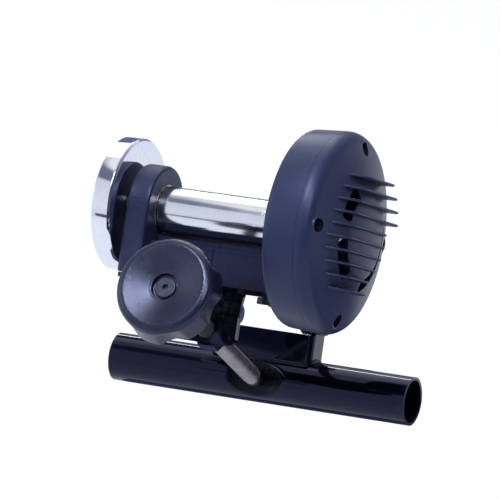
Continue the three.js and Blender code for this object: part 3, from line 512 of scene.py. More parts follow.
@dataclass(frozen=True)
class Finish:
    """One surface finish.

    Attributes:
        slot: The record's slot that it belongs to.
        dark: Base colour in the darker patches, linear.
        light: Base colour in the lighter patches, linear.
        roughness: Lowest and highest roughness.
        metallic: 1 for bare metal.
        specular: Specular level of a non-metal.
        tint: Colour of the specular reflection of a non-metal.
        coat: Weight and roughness of a clear coat.
        grain: Size of the fine grain in millimetres.
        mottle: Size of the tone patches in millimetres.
        relief: Height of the grain in millimetres.
        stretch: Stretch of the pattern along the frame's axes, for drawn or turned metal.
        worn: Amount and colour of rubbed edges.
        dust: Amount of settled dust.
        roller_shade: Half the length along x that the painted shade under the roller covers, in millimetres.
    """

    slot: Slot
    dark: Color
    light: Color
    roughness: Span
    metallic: float = 0.0
    specular: float = 0.5
    tint: Color = WHITE
    coat: Span = (0.0, 0.05)
    grain: float = 0.8
    mottle: float = 22.0
    relief: float = 0.0
    stretch: Place = (1.0, 1.0, 1.0)
    worn: tuple[float, Color] = (0.0, (0.3, 0.3, 0.32))
    dust: float = 0.0
    roller_shade: float = 0.0

    def build(self, effects: Effects) -> bpy.types.Material:
        """Makes the material.

        Args:
            effects: The shared shader groups.

        Returns:
            The material, named after its slot.
        """
        material = bpy.data.materials.new(self.slot.value)
        material.use_nodes = True
        tree = material.node_tree
        shader = tree.nodes["Principled BSDF"]
        where = tree.nodes.new("ShaderNodeTexCoord").outputs["Object"]
        mapping = tree.nodes.new("ShaderNodeMapping")
        mapping.inputs["Scale"].default_value = self.stretch
        feed(tree, where, mapping.inputs["Vector"])
        grain = place_group(tree, effects.grain, mapping.outputs["Vector"], {
            "Grain Scale": 1 / (self.grain * MM), "Mottle Scale": 1 / (self.mottle * MM),
            "Dark Tone": self.dark, "Light Tone": self.light,
            "Low Roughness": self.roughness[0], "High Roughness": self.roughness[1],
        })
        color, rough = grain.outputs["Color"], grain.outputs["Roughness"]
        if self.worn[0] > 0:
            wear = place_group(tree, effects.wear, where, {"Amount": self.worn[0]})
            color = mix_colors(tree, wear.outputs["Mask"], color, self.worn[1])
        if self.dust > 0:
            dust = place_group(tree, effects.dust, where, {"Amount": self.dust})
            color, rough = ROOM_DUST.over(tree, dust.outputs["Mask"], color, rough)
        # Painted shade under the roller: a near-black, duller film on the faces that look up.
        if self.roller_shade > 0:
            dust = place_group(tree, effects.roller_shade, where, {"Half Length": self.roller_shade * MM})
            color, rough = ROLLER_SHADE_FILM.over(tree, dust.outputs["Mask"], color, rough)
        if self.relief > 0:
            bump = tree.nodes.new("ShaderNodeBump")
            bump.inputs["Strength"].default_value = 1.0
            bump.inputs["Distance"].default_value = self.relief * MM
            feed(tree, grain.outputs["Height"], bump.inputs["Height"])
            feed(tree, bump.outputs["Normal"], shader.inputs["Normal"])
        values = {
            "Base Color": color, "Roughness": rough, "Metallic": self.metallic,
            "Specular IOR Level": self.specular, "Specular Tint": self.tint,
            "Coat Weight": self.coat[0], "Coat Roughness": self.coat[1],
        }
        for name, wanted in values.items():
            feed(tree, wanted, shader.inputs[name])
        return material


COOL = (0.55, 0.60, 1.0)
FINISHES = (
    Finish(Slot.PAINTED_STEEL, (0.0006, 0.0006, 0.0016), (0.0012, 0.0012, 0.0030), (0.05, 0.09),
           specular=0.42, tint=(0.30, 0.32, 0.80), coat=(0.15, 0.02), grain=1.6, mottle=40, relief=0.003,
           worn=(0.15, (0.05, 0.05, 0.07))),
    # The castings get painted shade on the faces that look up under the roller.
    Finish(Slot.SATIN_CASTING, (0.006, 0.008, 0.024), (0.009, 0.012, 0.034), (0.36, 0.46), specular=0.43,
           tint=COOL, grain=0.7, mottle=14, relief=0.02, worn=(0.35, (0.05, 0.055, 0.095)), dust=0.02,
           roller_shade=41.0),
    Finish(Slot.HOUSING_PLASTIC, (0.009, 0.012, 0.034), (0.012, 0.016, 0.044), (0.36, 0.42), specular=0.42,
           tint=COOL, grain=0.5, mottle=30, relief=0.008, worn=(0.3, (0.06, 0.066, 0.12)), dust=0.015),
    Finish(Slot.KNOB_PLASTIC, (0.003, 0.0035, 0.010), (0.007, 0.0075, 0.020), (0.24, 0.30), specular=0.55,
           tint=(0.60, 0.66, 1.0), grain=0.8, mottle=12, relief=0.12, worn=(0.4, (0.06, 0.062, 0.09))),
    Finish(Slot.POLISHED_CHROME, (0.68, 0.70, 0.74), (0.74, 0.75, 0.79), (0.12, 0.16), metallic=1.0,
           grain=0.9, mottle=18, relief=0.0006, stretch=(1.0, 0.3, 0.3)),
    Finish(Slot.GROUND_STEEL, (0.50, 0.50, 0.53), (0.66, 0.66, 0.70), (0.20, 0.30), metallic=1.0,
           grain=0.35, mottle=9, relief=0.004, stretch=(6.0, 1.0, 1.0)),
    Finish(Slot.SCREW_STEEL, (0.19, 0.17, 0.17), (0.36, 0.33, 0.34), (0.24, 0.38), metallic=1.0,
           grain=0.7, mottle=6, relief=0.02),
    Finish(Slot.ZINC_STEEL, (0.17, 0.17, 0.18), (0.32, 0.32, 0.33), (0.24, 0.38), metallic=1.0,
           grain=0.6, mottle=5, relief=0.008),
    Finish(Slot.BLACK_BOLT, (0.012, 0.013, 0.022), (0.028, 0.030, 0.044), (0.30, 0.42), specular=0.6,
           tint=COOL, grain=0.5, mottle=4, relief=0.01, worn=(0.5, (0.16, 0.16, 0.2))),
    Finish(Slot.BEARING_STEEL, (0.26, 0.22, 0.20), (0.46, 0.41, 0.38), (0.22, 0.34), metallic=1.0,
           grain=0.5, mottle=4, relief=0.004),
    Finish(Slot.SEAL_RUBBER, (0.010, 0.010, 0.013), (0.020, 0.020, 0.024), (0.45, 0.6), grain=0.4,
           mottle=5, relief=0.01),
    Finish(Slot.NYLON, (0.60, 0.58, 0.52), (0.70, 0.68, 0.61), (0.38, 0.5), grain=0.5, mottle=5,
           relief=0.006),
    # Brake disc and magnets sit inside the housing, coloured far darker than bare aluminium and nickel:
    # painted shade.
    Finish(Slot.BRAKE_ALUMINIUM, (0.13, 0.135, 0.15), (0.20, 0.205, 0.22), (0.45, 0.55), metallic=1.0,
           grain=0.5, mottle=12, relief=0.004),
    Finish(Slot.MAGNET_NICKEL, (0.14, 0.14, 0.155), (0.21, 0.21, 0.225), (0.35, 0.45), metallic=1.0,
           grain=0.5, mottle=6, relief=0.003),
)
WHEEL_FINISH = Finish(Slot.POLISHED_CHROME, (0.74, 0.75, 0.80), (0.82, 0.83, 0.87), (0.04, 0.08),
                      metallic=1.0, grain=0.9, mottle=24, relief=0.0008, stretch=(1.0, 0.3, 0.3))
# Painted shade for the stretch of screw behind the knob: dark, dull steel.
KNOB_SHADE_FINISH = Finish(Slot.SCREW_STEEL, (0.02, 0.02, 0.024), (0.03, 0.03, 0.036), (0.4, 0.5),
                      specular=0.2, grain=0.7, mottle=6, relief=0.02)
# Painted shade for the insides of the cover's counterbores.
BORE_SHADE_FINISH = Finish(Slot.HOUSING_PLASTIC, (0.0015, 0.0018, 0.005), (0.003, 0.0035, 0.009), (0.6, 0.7),
                     specular=0.1)
# Painted shade for the front of the tube's dimple: darker, duller paint.
DIMPLE_SHADE_FINISH = Finish(Slot.PAINTED_STEEL, (0.0006, 0.0006, 0.0012), (0.004, 0.004, 0.006), (0.12, 0.4),
                        specular=0.18, tint=(0.6, 0.65, 1.0), grain=1.2, mottle=3, relief=0.02)
SPECIAL_FINISHES = (WHEEL_FINISH, KNOB_SHADE_FINISH, BORE_SHADE_FINISH, DIMPLE_SHADE_FINISH)


# Surfaces


def unit(vectors: Array) -> Array:
    """Vectors of length 1 along the last axis."""
    return vectors / np.maximum(np.linalg.norm(vectors, axis=-1, keepdims=True), TINY)


def around(sides: int) -> Array:
    """Angles of evenly spaced points round a circle."""
    return np.arange(sides) * (2 * np.pi / sides)


def run_along(path: Array) -> Array:
    """Distance run along a path at each of its points."""
    return np.concatenate([[0], np.cumsum(np.linalg.norm(np.diff(path, axis=0), axis=1))])


def nearest_quarter(angle: Array) -> Array:
    """The quarter turn nearest to each angle."""
    return np.round(angle / QUARTER) * QUARTER


def rounded(corners: Array, radii: Array, steps: int) -> Array:
    """Rounds the corners of closed outlines with circle arcs.

    Each arc is a rational quadratic curve from the corner's one tangent point A over the corner C to
    the other tangent point B: ((1-s)^2 A + 2 w s (1-s) C + s^2 B) / ((1-s)^2 + 2 w s (1-s) + s^2),
    with w the sine of half the corner's angle, which makes it a true arc.

    Args:
        corners: Corner points, of shape (..., K, 2).
        radii: Arc radius for each corner, of shape (K,).
        steps: Straight pieces in each arc.

    Returns:
        The outlines' points, of shape (..., K * (steps + 1), 2).
    """
    to_before = unit(np.roll(corners, 1, axis=-2) - corners)
    to_after = unit(np.roll(corners, -1, axis=-2) - corners)
    cosine = np.clip((to_before * to_after).sum(-1), -0.9999, 0.9999)
    half = np.arccos(cosine) / 2
    reach = (radii / np.tan(half))[..., None]
    start, end = corners + to_before * reach, corners + to_after * reach
    s = np.linspace(0, 1, steps + 1)[:, None]
    weight = np.sin(half)[..., None, None]
    a, b, c = (1 - s) ** 2, 2 * weight * s * (1 - s), s**2
    points = (a * start[..., None, :] + b * corners[..., None, :] + c * end[..., None, :]) / (a + b + c)
    return points.reshape(*corners.shape[:-2], -1, 2)


def spun(profile: Array, sides: int) -> Array:
    """Surface of revolution about x: the point (x, r) goes to (x, r cos a, r sin a).

    Args:
        profile: Points [x, radius], of shape (K, 2).
        sides: Points round the axis.

    Returns:
        Grid of points, of shape (K, sides, 3).
    """
    angle = around(sides)
    x = np.repeat(profile[:, :1], sides, axis=1)
    radius = profile[:, 1:]
    return np.stack([x, radius * np.cos(angle), radius * np.sin(angle)], axis=-1)


def turned(outline: list[list[float]], steps: int, sides: int) -> Array:
    """Surface of revolution about x of a closed outline with rounded corners.

    Args:
        outline: x, radius and rounding of each corner.
        steps: Straight pieces in each rounding.
        sides: Points round the axis.

    Returns:
        Grid of points, of shape (rows, sides, 3), that closes on itself both ways.
    """
    rows = np.array(outline)
    return spun(rounded(rows[:, :2], rows[:, 2], steps), sides)


def sleeve(ends: Span, radii: Span, rounding: Span, steps: int, sides: int) -> Array:
    """Surface of revolution about x of a rectangle with rounded corners.

    Args:
        ends: x of its two ends.
        radii: Inner and outer radius.
        rounding: Rounding of the inner and of the outer edges.
        steps: Straight pieces in each rounding.
        sides: Points round the axis.

    Returns:
        Grid of points, of shape (rows, sides, 3), that closes on itself both ways.
    """
    (low, high), (inner, outer), (inside, outside) = ends, radii, rounding
    outline = [[low, inner, inside], [low, outer, outside], [high, outer, outside], [high, inner, inside]]
    return turned(outline, steps, sides)


def resampled(points: Array, spacing: float) -> Array:
    """The same closed outline with points at even distances along it.

    Args:
        points: Outline of shape (K, 2).
        spacing: Distance between points, roughly.

    Returns:
        The outline's new points.
    """
    path = np.vstack([points, points[:1]])
    run = run_along(path)
    wanted = np.linspace(0, run[-1], int(run[-1] / spacing) + 1)
    return np.stack([np.interp(wanted, run, path[:, k]) for k in (0, 1)], axis=1)[:-1]


def smooth_step(value: Array, low: float, high: float) -> Array:
    """0 below low, 1 above high and 3t^2 - 2t^3 between them."""
    t = np.clip((value - low) / (high - low), 0, 1)
    return t * t * (3 - 2 * t)


def soft_least(first: Array, second: Array, width: float) -> Array:
    """The lesser of two values with a rounded change: -w log(exp(-a/w) + exp(-b/w))."""
    return -width * np.logaddexp(-first / width, -second / width)


def curve(first: list[float], middle: list[float], last: list[float], t: Array) -> Array:
    """Quadratic curve from the first point to the last: (1-t)^2 A + 2t(1-t) B + t^2 C."""
    a, b, c = np.array(first), np.array(middle), np.array(last)
    return (1 - t) ** 2 * a + 2 * t * (1 - t) * b + t**2 * c


class Surface:
    """Grids of points gathered into one mesh piece."""

    def __init__(self) -> None:
        """Starts with nothing."""
        self.points: list[Array] = []
        self.quads: list[Array] = []
        self.count = 0

    def _add(self, points: Array) -> Array:
        """Keeps a grid's points.

        Args:
            points: Points of shape (rows, columns, 3).

        Returns:
            Their indices, of shape (rows, columns).
        """
        index = np.arange(points.shape[0] * points.shape[1]).reshape(points.shape[:2]) + self.count
        self.points.append(points.reshape(-1, 3))
        self.count += index.size
        return index

    def _faces(self, *corners: Array) -> None:
        """Keeps four-sided faces, given as four arrays of their corners' indices."""
        self.quads.append(np.stack(corners, axis=-1).reshape(-1, 4))

    def grid(self, points: Array, close_rows: bool = False) -> "Surface":
        """Adds a grid of four-sided faces whose last column joins the first.

        Args:
            points: Points of shape (rows, columns, 3).
            close_rows: Whether the last row joins the first.

        Returns:
            This surface.
        """
        index = self._add(points)
        if close_rows:
            index = np.vstack([index, index[:1]])
        index = np.hstack([index, index[:, :1]])
        self._faces(index[:-1, :-1], index[1:, :-1], index[1:, 1:], index[:-1, 1:])
        return self

    def sheet(self, outer: Array, inner: Array, keep: Array) -> "Surface":
        """Adds a wall between two grids that close round, with the cells left out as openings.

        Args:
            outer: Outer points of shape (rows, columns, 3).
            inner: Inner points of the same shape.
            keep: True for each cell of wall, of shape (rows - 1, columns).

        Returns:
            This surface.
        """
        out, within = self._add(outer), self._add(inner)
        out, within = np.hstack([out, out[:, :1]]), np.hstack([within, within[:, :1]])
        row, column = np.nonzero(keep)
        for index in (out, within):
            start, end = index[row, column], index[row + 1, column + 1]
            self._faces(start, index[row + 1, column], end, index[row, column + 1])
        padded = np.pad(keep, ((1, 1), (0, 0)))
        row, column = np.nonzero(padded[1:] ^ padded[:-1])
        after = column + 1
        self._faces(out[row, column], out[row, after], within[row, after], within[row, column])
        row, column = np.nonzero(keep ^ np.roll(keep, 1, axis=1))
        after = row + 1
        self._faces(out[row, column], out[after, column], within[after, column], within[row, column])
        return self

    def piece(self, name: str, station: Station, sharp: float = 38.0) -> Piece:
        """Writes the mesh: doubles merged, faces turned outwards, edges over the angle kept sharp.

        Args:
            name: The piece's name.
            station: The line that its points are given on.
            sharp: Angle in degrees above which an edge is not shaded smooth.

        Returns:
            The object, at the origin, with its place in its mesh.
        """
        mesh = bpy.data.meshes.new(name)
        mesh.from_pydata(station.world(np.vstack(self.points)), [], np.vstack(self.quads))
        work = bmesh.new()
        work.from_mesh(mesh)
        bmesh.ops.remove_doubles(work, verts=work.verts, dist=MERGE * MM)
        bmesh.ops.dissolve_degenerate(work, edges=work.edges, dist=MERGE / 2 * MM)
        loose = [v for v in work.verts if not v.link_faces]
        bmesh.ops.delete(work, geom=loose, context="VERTS")
        bmesh.ops.recalc_face_normals(work, faces=work.faces)
        work.to_mesh(mesh)
        work.free()
        mesh.shade_smooth()
        mesh.set_sharp_from_angle(angle=math.radians(sharp))
        made = bpy.data.objects.new(name, mesh)
        bpy.context.collection.objects.link(made)
        return made


class Workshop:
    """Gives each piece its finish and its body, and reports it."""

    FLAT_ANGLE = math.radians(0.4)
    EDGE_ANGLE = math.radians(40)
    EDGE_STEPS = 3

    def __init__(self) -> None:
        """Builds the finishes and reads each node's slot from the record."""
        effects = Effects()
        self.materials = {finish.slot: finish.build(effects) for finish in FINISHES}
        self.special = {finish: finish.build(effects) for finish in SPECIAL_FINISHES}
        self.slots = {row["node"]: Slot(row["material_slot"]) for row in frame["record"]["subparts"]}

    def fit(self, made: Piece, body: Body, slot: Slot, *nodes: str) -> Piece:
        """Dresses a new piece and hangs it on its body.

        Args:
            made: The piece.
            body: The body that it moves with.
            slot: Its finish.
            nodes: The CAD nodes that it stands for.

        Returns:
            The piece.
        """
        made.data.materials.append(self.materials[slot])
        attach(made, body.value)
        if nodes:
            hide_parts(*nodes)
        log.info("%s: %d faces, %s, on %s", made.name, len(made.data.polygons), slot.value, body.value)
        return made

    def finish_part(self, made: Piece, finish: Finish, chosen: Array) -> None:
        """Gives some faces of a piece a second finish.

        Args:
            made: The piece.
            finish: The second finish.
            chosen: True for each face that gets it.
        """
        made.data.materials.append(self.special[finish])
        made.data.polygons.foreach_set("material_index", chosen.astype(np.int32))

    @staticmethod
    def middles(made: Piece, station: Station) -> Array:
        """Middles of a piece's faces on a line, of shape (faces, 3)."""
        return station.local(np.array([face.center for face in made.data.polygons]))

    def dress_node(self, name: str, edge: float) -> None:
        """Dresses a CAD node whose shape stays, with its doubles merged and its edges rounded.

        Args:
            name: The node.
            edge: Radius of its rounded edges in millimetres.
        """
        node = frame["nodes"][name]
        node.data.materials.clear()
        node.data.materials.append(self.materials[self.slots[name]])
        weld = node.modifiers.new("merged", "WELD")
        weld.merge_threshold = MERGE * MM
        flat = node.modifiers.new("flat faces", "DECIMATE")
        flat.decimate_type = "DISSOLVE"
        flat.angle_limit = self.FLAT_ANGLE
        bevel = node.modifiers.new("rounded edges", "BEVEL")
        bevel.width = edge * MM
        bevel.segments = self.EDGE_STEPS
        bevel.limit_method = "ANGLE"
        bevel.angle_limit = self.EDGE_ANGLE
        bevel.use_clamp_overlap = True
        bevel.harden_normals = True
        log.info("%s: CAD solid, %s, edges %.2f mm", name, self.slots[name].value, edge)


# Sub-assemblies


@dataclass
class CrossTube:
    """The tube, its dimple and the weld beads of the bracket on it.

    Attributes:
        softness: Width of the rounded change from the tube's wall into the dimple.
        close_half: Half the stretch of tube that has close rows of points.
        web_face: y of the bracket's web, where the front bead runs.
        web_half: Half the web's width.
        bead_lean: Direction that the beads' sections are squared to.
        ripple: Length of one ripple of a bead.
        ripple_share: Share of a bead's radius that ripples.
        front_short: How far the front bead ends before the web's corners.
        front_out, front_lift: How far the front bead lies before and above the web's foot.
        side_out, side_lift: How far the side beads lie beside the web and above the tube.
        side_run: y of a side bead's two ends.
        side_share: Side bead's radius as a share of the front one's.
        dimple_shade: Least depth pressed in that gets the dimple's painted shade, and how far it reaches
            past the dimple.
        dimple_shade_front: y before which the wall gets it.
    """

    radius: float = TUBE_RADIUS
    wall: float = 2.0
    length: float = 212.0
    dimple_depth: float = DIMPLE_DEPTH
    dimple_length: float = 41.0
    softness: float = 0.35
    close_half: float = 30.0
    plain_rows: int = 20
    close_rows: int = 121
    sides: int = 160
    web_face: float = -10.5
    web_half: float = 35.6
    bead: float = 1.7
    bead_sides: int = 20
    bead_lean: Place = (0.0, 0.35, 1.0)
    ripple: float = 2.2
    ripple_share: float = 0.14
    front_short: float = 1.0
    front_out: float = 0.3
    front_lift: float = 0.9
    front_points: int = 160
    side_out: float = 0.3
    side_lift: float = 0.5
    side_run: Span = (-9.5, 6.5)
    side_share: float = 0.8
    side_points: int = 60
    dimple_shade: Span = (0.7, 0.3)
    dimple_shade_front: float = -5.0

    def _skin(self, radius: float, tool_radius: float, tool_at: float) -> Array:
        """Tube wall pressed in by a round tool: y becomes the soft greatest of y and the tool's y.

        Args:
            radius: Radius of the wall.
            tool_radius: Radius of the tool.
            tool_at: y of the tool's middle.

        Returns:
            Grid of points, of shape (rows, sides, 3).
        """
        half, close = self.length / 2, self.close_half
        x = np.concatenate([
            np.linspace(-half, -close, self.plain_rows),
            np.linspace(-close, close, self.close_rows)[1:-1],
            np.linspace(close, half, self.plain_rows),
        ])
        angle = around(self.sides)
        y = np.repeat(radius * np.cos(angle)[None], len(x), axis=0)
        z = np.repeat(radius * np.sin(angle)[None], len(x), axis=0)
        tool = tool_at + np.sqrt(np.maximum(tool_radius**2 - x**2, 0))[:, None]
        y = -soft_least(-y, -np.broadcast_to(tool, y.shape), self.softness)
        return np.stack([np.repeat(x[:, None], self.sides, axis=1), y, z], axis=-1)

    def tube(self) -> Piece:
        """Makes the tube with its bore and its dimple.

        The dimple, l long and d deep, is pressed by a round tool whose circle passes through its two
        ends and its bottom: the radius is (l^2 / 4 + d^2) / 2d.

        Returns:
            The tube.
        """
        tool_radius = (self.dimple_length**2 / 4 + self.dimple_depth**2) / (2 * self.dimple_depth)
        tool_at = -(self.radius - self.dimple_depth) - tool_radius
        outer = self._skin(self.radius, tool_radius, tool_at)
        inner = self._skin(self.radius - self.wall, tool_radius + self.wall, tool_at)
        surface = Surface().grid(np.concatenate([outer, inner[::-1]]), close_rows=True)
        return surface.piece("cross_tube_skin", LEANING)

    def bead_along(self, path: Array, name: str, radius: float) -> Piece:
        """Weld bead: a round section carried along a path, its radius rippled as sin^2 of the run.

        Args:
            path: Points of the path, of shape (K, 3).
            name: The piece's name.
            radius: Radius of the bead.

        Returns:
            The bead.
        """
        ahead = unit(np.gradient(path, axis=0))
        side = unit(np.cross(ahead, self.bead_lean))
        up = np.cross(side, ahead)
        run = run_along(path)
        fade = np.sqrt(np.clip(np.minimum(run, run[-1] - run) / radius, 0, 1))
        wave = np.sin(np.pi * run / self.ripple) ** 2
        size = radius * (1 - self.ripple_share + self.ripple_share * wave) * fade
        angle = around(self.bead_sides)[None, :, None]
        section = np.cos(angle) * side[:, None] + np.sin(angle) * up[:, None]
        return Surface().grid(path[:, None] + size[:, None, None] * section).piece(name, LEANING)

    def build(self, shop: Workshop) -> None:
        """Makes and fits the tube and its welds.

        Args:
            shop: The workshop that dresses them.
        """
        tube = shop.fit(self.tube(), Body.FRAME, Slot.PAINTED_STEEL, "cross_tube")
        place = shop.middles(tube, LEANING)
        pressed = self.radius - np.hypot(place[:, 1], place[:, 2])
        least, past = self.dimple_shade
        dimple = (pressed > least) & (pressed < self.dimple_depth + past)
        # Painted shade in the front of the dimple.
        shop.finish_part(tube, DIMPLE_SHADE_FINISH, dimple & (place[:, 1] < self.dimple_shade_front))
        half = self.web_half - self.front_short
        x = np.linspace(-half, half, self.front_points)
        y = np.full_like(x, self.web_face - self.front_out)
        z = np.full_like(x, math.sqrt(self.radius**2 - self.web_face**2) + self.front_lift)
        front = self.bead_along(np.stack([x, y, z], axis=1), "bracket_weld_front", self.bead)
        shop.fit(front, Body.FRAME, Slot.PAINTED_STEEL)
        y = np.linspace(*self.side_run, self.side_points)
        z = np.sqrt((self.radius + self.side_lift) ** 2 - y**2)
        for side, word in ((-1, "left"), (1, "right")):
            path = np.stack([np.full_like(y, side * (self.web_half + self.side_out)), y, z], axis=1)
            bead = self.bead_along(path, f"bracket_weld_{word}", self.bead * self.side_share)
            shop.fit(bead, Body.FRAME, Slot.PAINTED_STEEL)


@dataclass
class TensionScrew:
    """The threaded screw, its foot and the lobed knob.

    Attributes:
        reach: Distance from the dimple to the knob's zero, which lies inside its boss.
        thread: Depth of the thread.
        rod_start: How far inside the knob the rod ends.
        turn_rows: Rows of points in one turn of the thread.
        thread_run: Distances from the rod's ends at which the thread starts and is full.
        knob_radius: Radius of the knob at its front rim.
        knob_back: Radius of the knob's back.
        dish: Depth of the dished front.
        boss: Radius of the boss in the dish, and how far before the knob's zero it ends.
        pocket: Radius of the cap screw's pocket, and how far behind that zero its floor lies.
        rim_proud, rim_width: How far the rim's crest stands before the front, and its width.
        rim_fall, rim_edge: How far the rim's outer edge lies back and in.
        rim_roundings: Roundings of the rim, from the dish outwards.
        flank_from: How far behind the front the flank starts.
        back_rounding: Rounding of the back's edge.
        hub, hub_roundings: Radius at the hub's root and tip; roundings of root, tip and bore.
        rod_hole: Radius and depth of the hole for the rod.
        cap_hole: Radius and depth of the hole for the cap screw.
        cap_seat: Radius of the cap screw's seat, and how far it rises from the pocket's floor.
        soft, crisp: Roundings of the pocket's edges and of the holes' edges.
        grid_step: Distance between points of the knob's outline.
        scallop_start: How far behind the front the scallops start.
        scallop_run: Where a scallop starts and is full, from scallop_start.
        scallop_softness: Width of the rounded change from the lobes into the scallops.
        phase: Angle of the first scallop.
        knob_shade_from: x before which the screw is dark with the knob's painted shade.
    """

    reach: float = 169.5
    radius: float = 6.0
    pitch: float = 1.75
    thread: float = 0.75
    rod_start: float = 6.6
    rod_sides: int = 32
    turn_rows: int = 8
    thread_run: Span = (0.4, 2.0)
    foot_length: float = 9.0
    foot_radius: float = 5.6
    foot_edge: float = 0.5
    foot_rows: int = 14
    foot_sides: int = 48
    pin_radius: float = 2.4
    pin_length: float = 7.0
    knob_radius: float = 32.0
    knob_back: float = 34.0
    knob_thickness: float = 19.5
    knob_sides: int = 240
    dish: float = 5.0
    boss: Span = (10.1, 1.5)
    pocket: Span = (8.6, 1.5)
    rim_proud: float = 0.2
    rim_width: float = 4.4
    rim_fall: float = 1.6
    rim_edge: float = 1.2
    rim_roundings: tuple[float, float, float] = (4.4, 4.2, 3.6)
    flank_from: float = 4.6
    back_rounding: float = 2.4
    hub: Span = (11.0, 10.0)
    hub_length: float = 5.0
    hub_roundings: tuple[float, float, float] = (1.5, 1.0, 0.2)
    rod_hole: Span = (6.3, 4.8)
    cap_hole: Span = (3.4, 2.3)
    cap_seat: Span = (7.1, 1.3)
    boss_rounding: float = 1.0
    soft: float = 0.4
    crisp: float = 0.1
    grid_step: float = 0.55
    lobes: int = 6
    scallop_radius: float = 15.0
    scallop_depth: float = 4.6
    scallop_start: float = 5.0
    scallop_run: Span = (-1.2, 2.2)
    scallop_softness: float = 0.55
    phase: float = math.radians(11)
    knob_shade_from: float = -88.0

    def screw(self) -> Piece:
        """Rolled thread: the radius falls by thread * (1 - cos) / 2 of the turn x / pitch - a / 2 pi.

        Returns:
            The screw.
        """
        low, high = -self.reach + self.rod_start, -self.foot_length - SEAT_GAP
        x = np.linspace(low, high, int((high - low) / self.pitch * self.turn_rows))[:, None]
        angle = around(self.rod_sides)[None]
        turn = x / self.pitch - angle / (2 * np.pi)
        full = smooth_step(np.minimum(x - low, high - x), *self.thread_run)
        radius = self.radius - self.thread * (full * (0.5 - 0.5 * np.cos(2 * np.pi * turn)) + (1 - full))
        along = np.broadcast_to(x, radius.shape)
        side = np.stack([along, radius * np.cos(angle), radius * np.sin(angle)], axis=-1)
        start, end = (np.broadcast_to([[[at, 0, 0]]], (1, self.rod_sides, 3)) for at in (low, high))
        surface = Surface().grid(np.concatenate([start, side, end]))
        return surface.piece("tension_screw_thread", SCREW_LINE, sharp=60)

    def foot(self) -> Piece:
        """Rounded end of the screw: a quarter circle swept about the screw's line, and its pin.

        Returns:
            The foot.
        """
        angle = np.linspace(0, QUARTER, self.foot_rows)
        crown = np.stack([self.foot_radius * (np.sin(angle) - 1), self.foot_radius * np.cos(angle)], axis=1)
        back, edge = -self.foot_length, self.foot_edge
        pin_end = back - self.pin_length + SEAT_GAP
        pin = np.array([[pin_end, 0], [pin_end, self.pin_radius], [back, self.pin_radius],
                        [back, self.foot_radius - edge], [back + edge, self.foot_radius]])
        grid = spun(np.vstack([pin, crown]), self.foot_sides)
        return Surface().grid(grid).piece("screw_foot_tip", SCREW_LINE)

    def _knob_profile(self) -> Array:
        """Outline of the knob: dish with its boss, rim, flank, hub, and the holes for rod and cap screw.

        Returns:
            Points [x, radius], evenly spaced, of shape (K, 2).
        """
        front = -self.reach - self.dish
        back = front + self.knob_thickness
        face, seat = -self.reach - self.boss[1], -self.reach + self.pocket[1]
        hub_end, rod_end = back + self.hub_length, seat + self.rod_hole[1]
        rim, crisp = self.knob_radius, self.crisp
        outline = np.array([
            [face, self.pocket[0], self.soft],
            [face, self.boss[0], self.boss_rounding],
            [front - self.rim_proud, rim - self.rim_width, self.rim_roundings[0]],
            [front + self.rim_fall, rim - self.rim_edge, self.rim_roundings[1]],
            [front + self.flank_from, rim, self.rim_roundings[2]],
            [back, self.knob_back, self.back_rounding],
            [back, self.hub[0], self.hub_roundings[0]],
            [hub_end, self.hub[1], self.hub_roundings[1]],
            [hub_end, self.rod_hole[0], self.hub_roundings[2]],
            [rod_end, self.rod_hole[0], crisp],
            [rod_end, self.cap_hole[0], crisp],
            [seat + self.cap_hole[1], self.cap_hole[0], crisp],
            [seat - self.cap_seat[1], self.cap_seat[0], crisp],
            [seat, self.cap_seat[0], crisp],
            [seat, self.pocket[0], self.soft],
        ])
        return resampled(rounded(outline[:, :2], outline[:, 2], steps=5), self.grid_step)

    def knob(self) -> Piece:
        """Knob: a rounded profile swept about the screw, its flank cut by round scallops.

        A scallop of radius R at distance A leaves the radius A cos d - sqrt(R^2 - (A sin d)^2) at the
        angle d from its middle; the flank takes the soft least of that and the profile's radius.

        Returns:
            The knob.
        """
        profile = self._knob_profile()
        grid = spun(profile, self.knob_sides)
        spread = 2 * np.pi / self.lobes
        apart = (around(self.knob_sides) - self.phase + spread / 2) % spread - spread / 2
        distance = self.knob_back - self.scallop_depth + self.scallop_radius
        inside = self.scallop_radius**2 - (distance * np.sin(apart)) ** 2
        cut = distance * np.cos(apart) - np.sqrt(np.maximum(inside, 0))
        cut = np.where(inside > 0, cut, distance + self.knob_back)[None]
        radius = np.repeat(profile[:, 1:], self.knob_sides, axis=1)
        start = -self.reach - self.dish + self.scallop_start
        begun = smooth_step(profile[:, :1], start + self.scallop_run[0], start + self.scallop_run[1])
        lesser = np.minimum(soft_least(radius, cut, self.scallop_softness), radius)
        grid[..., 1:] *= ((radius + begun * (lesser - radius)) / radius)[..., None]
        return Surface().grid(grid, close_rows=True).piece("tension_knob_grip", SCREW_LINE, sharp=50)

    def build(self, shop: Workshop) -> None:
        """Makes and fits the screw, its foot and the knob.

        Args:
            shop: The workshop that dresses them.
        """
        thread = shop.fit(self.screw(), Body.SCREW, Slot.SCREW_STEEL, "tension_screw")
        # Painted shade: the screw's stretch near the knob gets a dark, dull finish.
        shop.finish_part(thread, KNOB_SHADE_FINISH, shop.middles(thread, SCREW_LINE)[:, 0] < self.knob_shade_from)
        shop.fit(self.foot(), Body.FOOT, Slot.SCREW_STEEL, "screw_foot")
        shop.fit(self.knob(), Body.SCREW, Slot.KNOB_PLASTIC, "tension_knob")


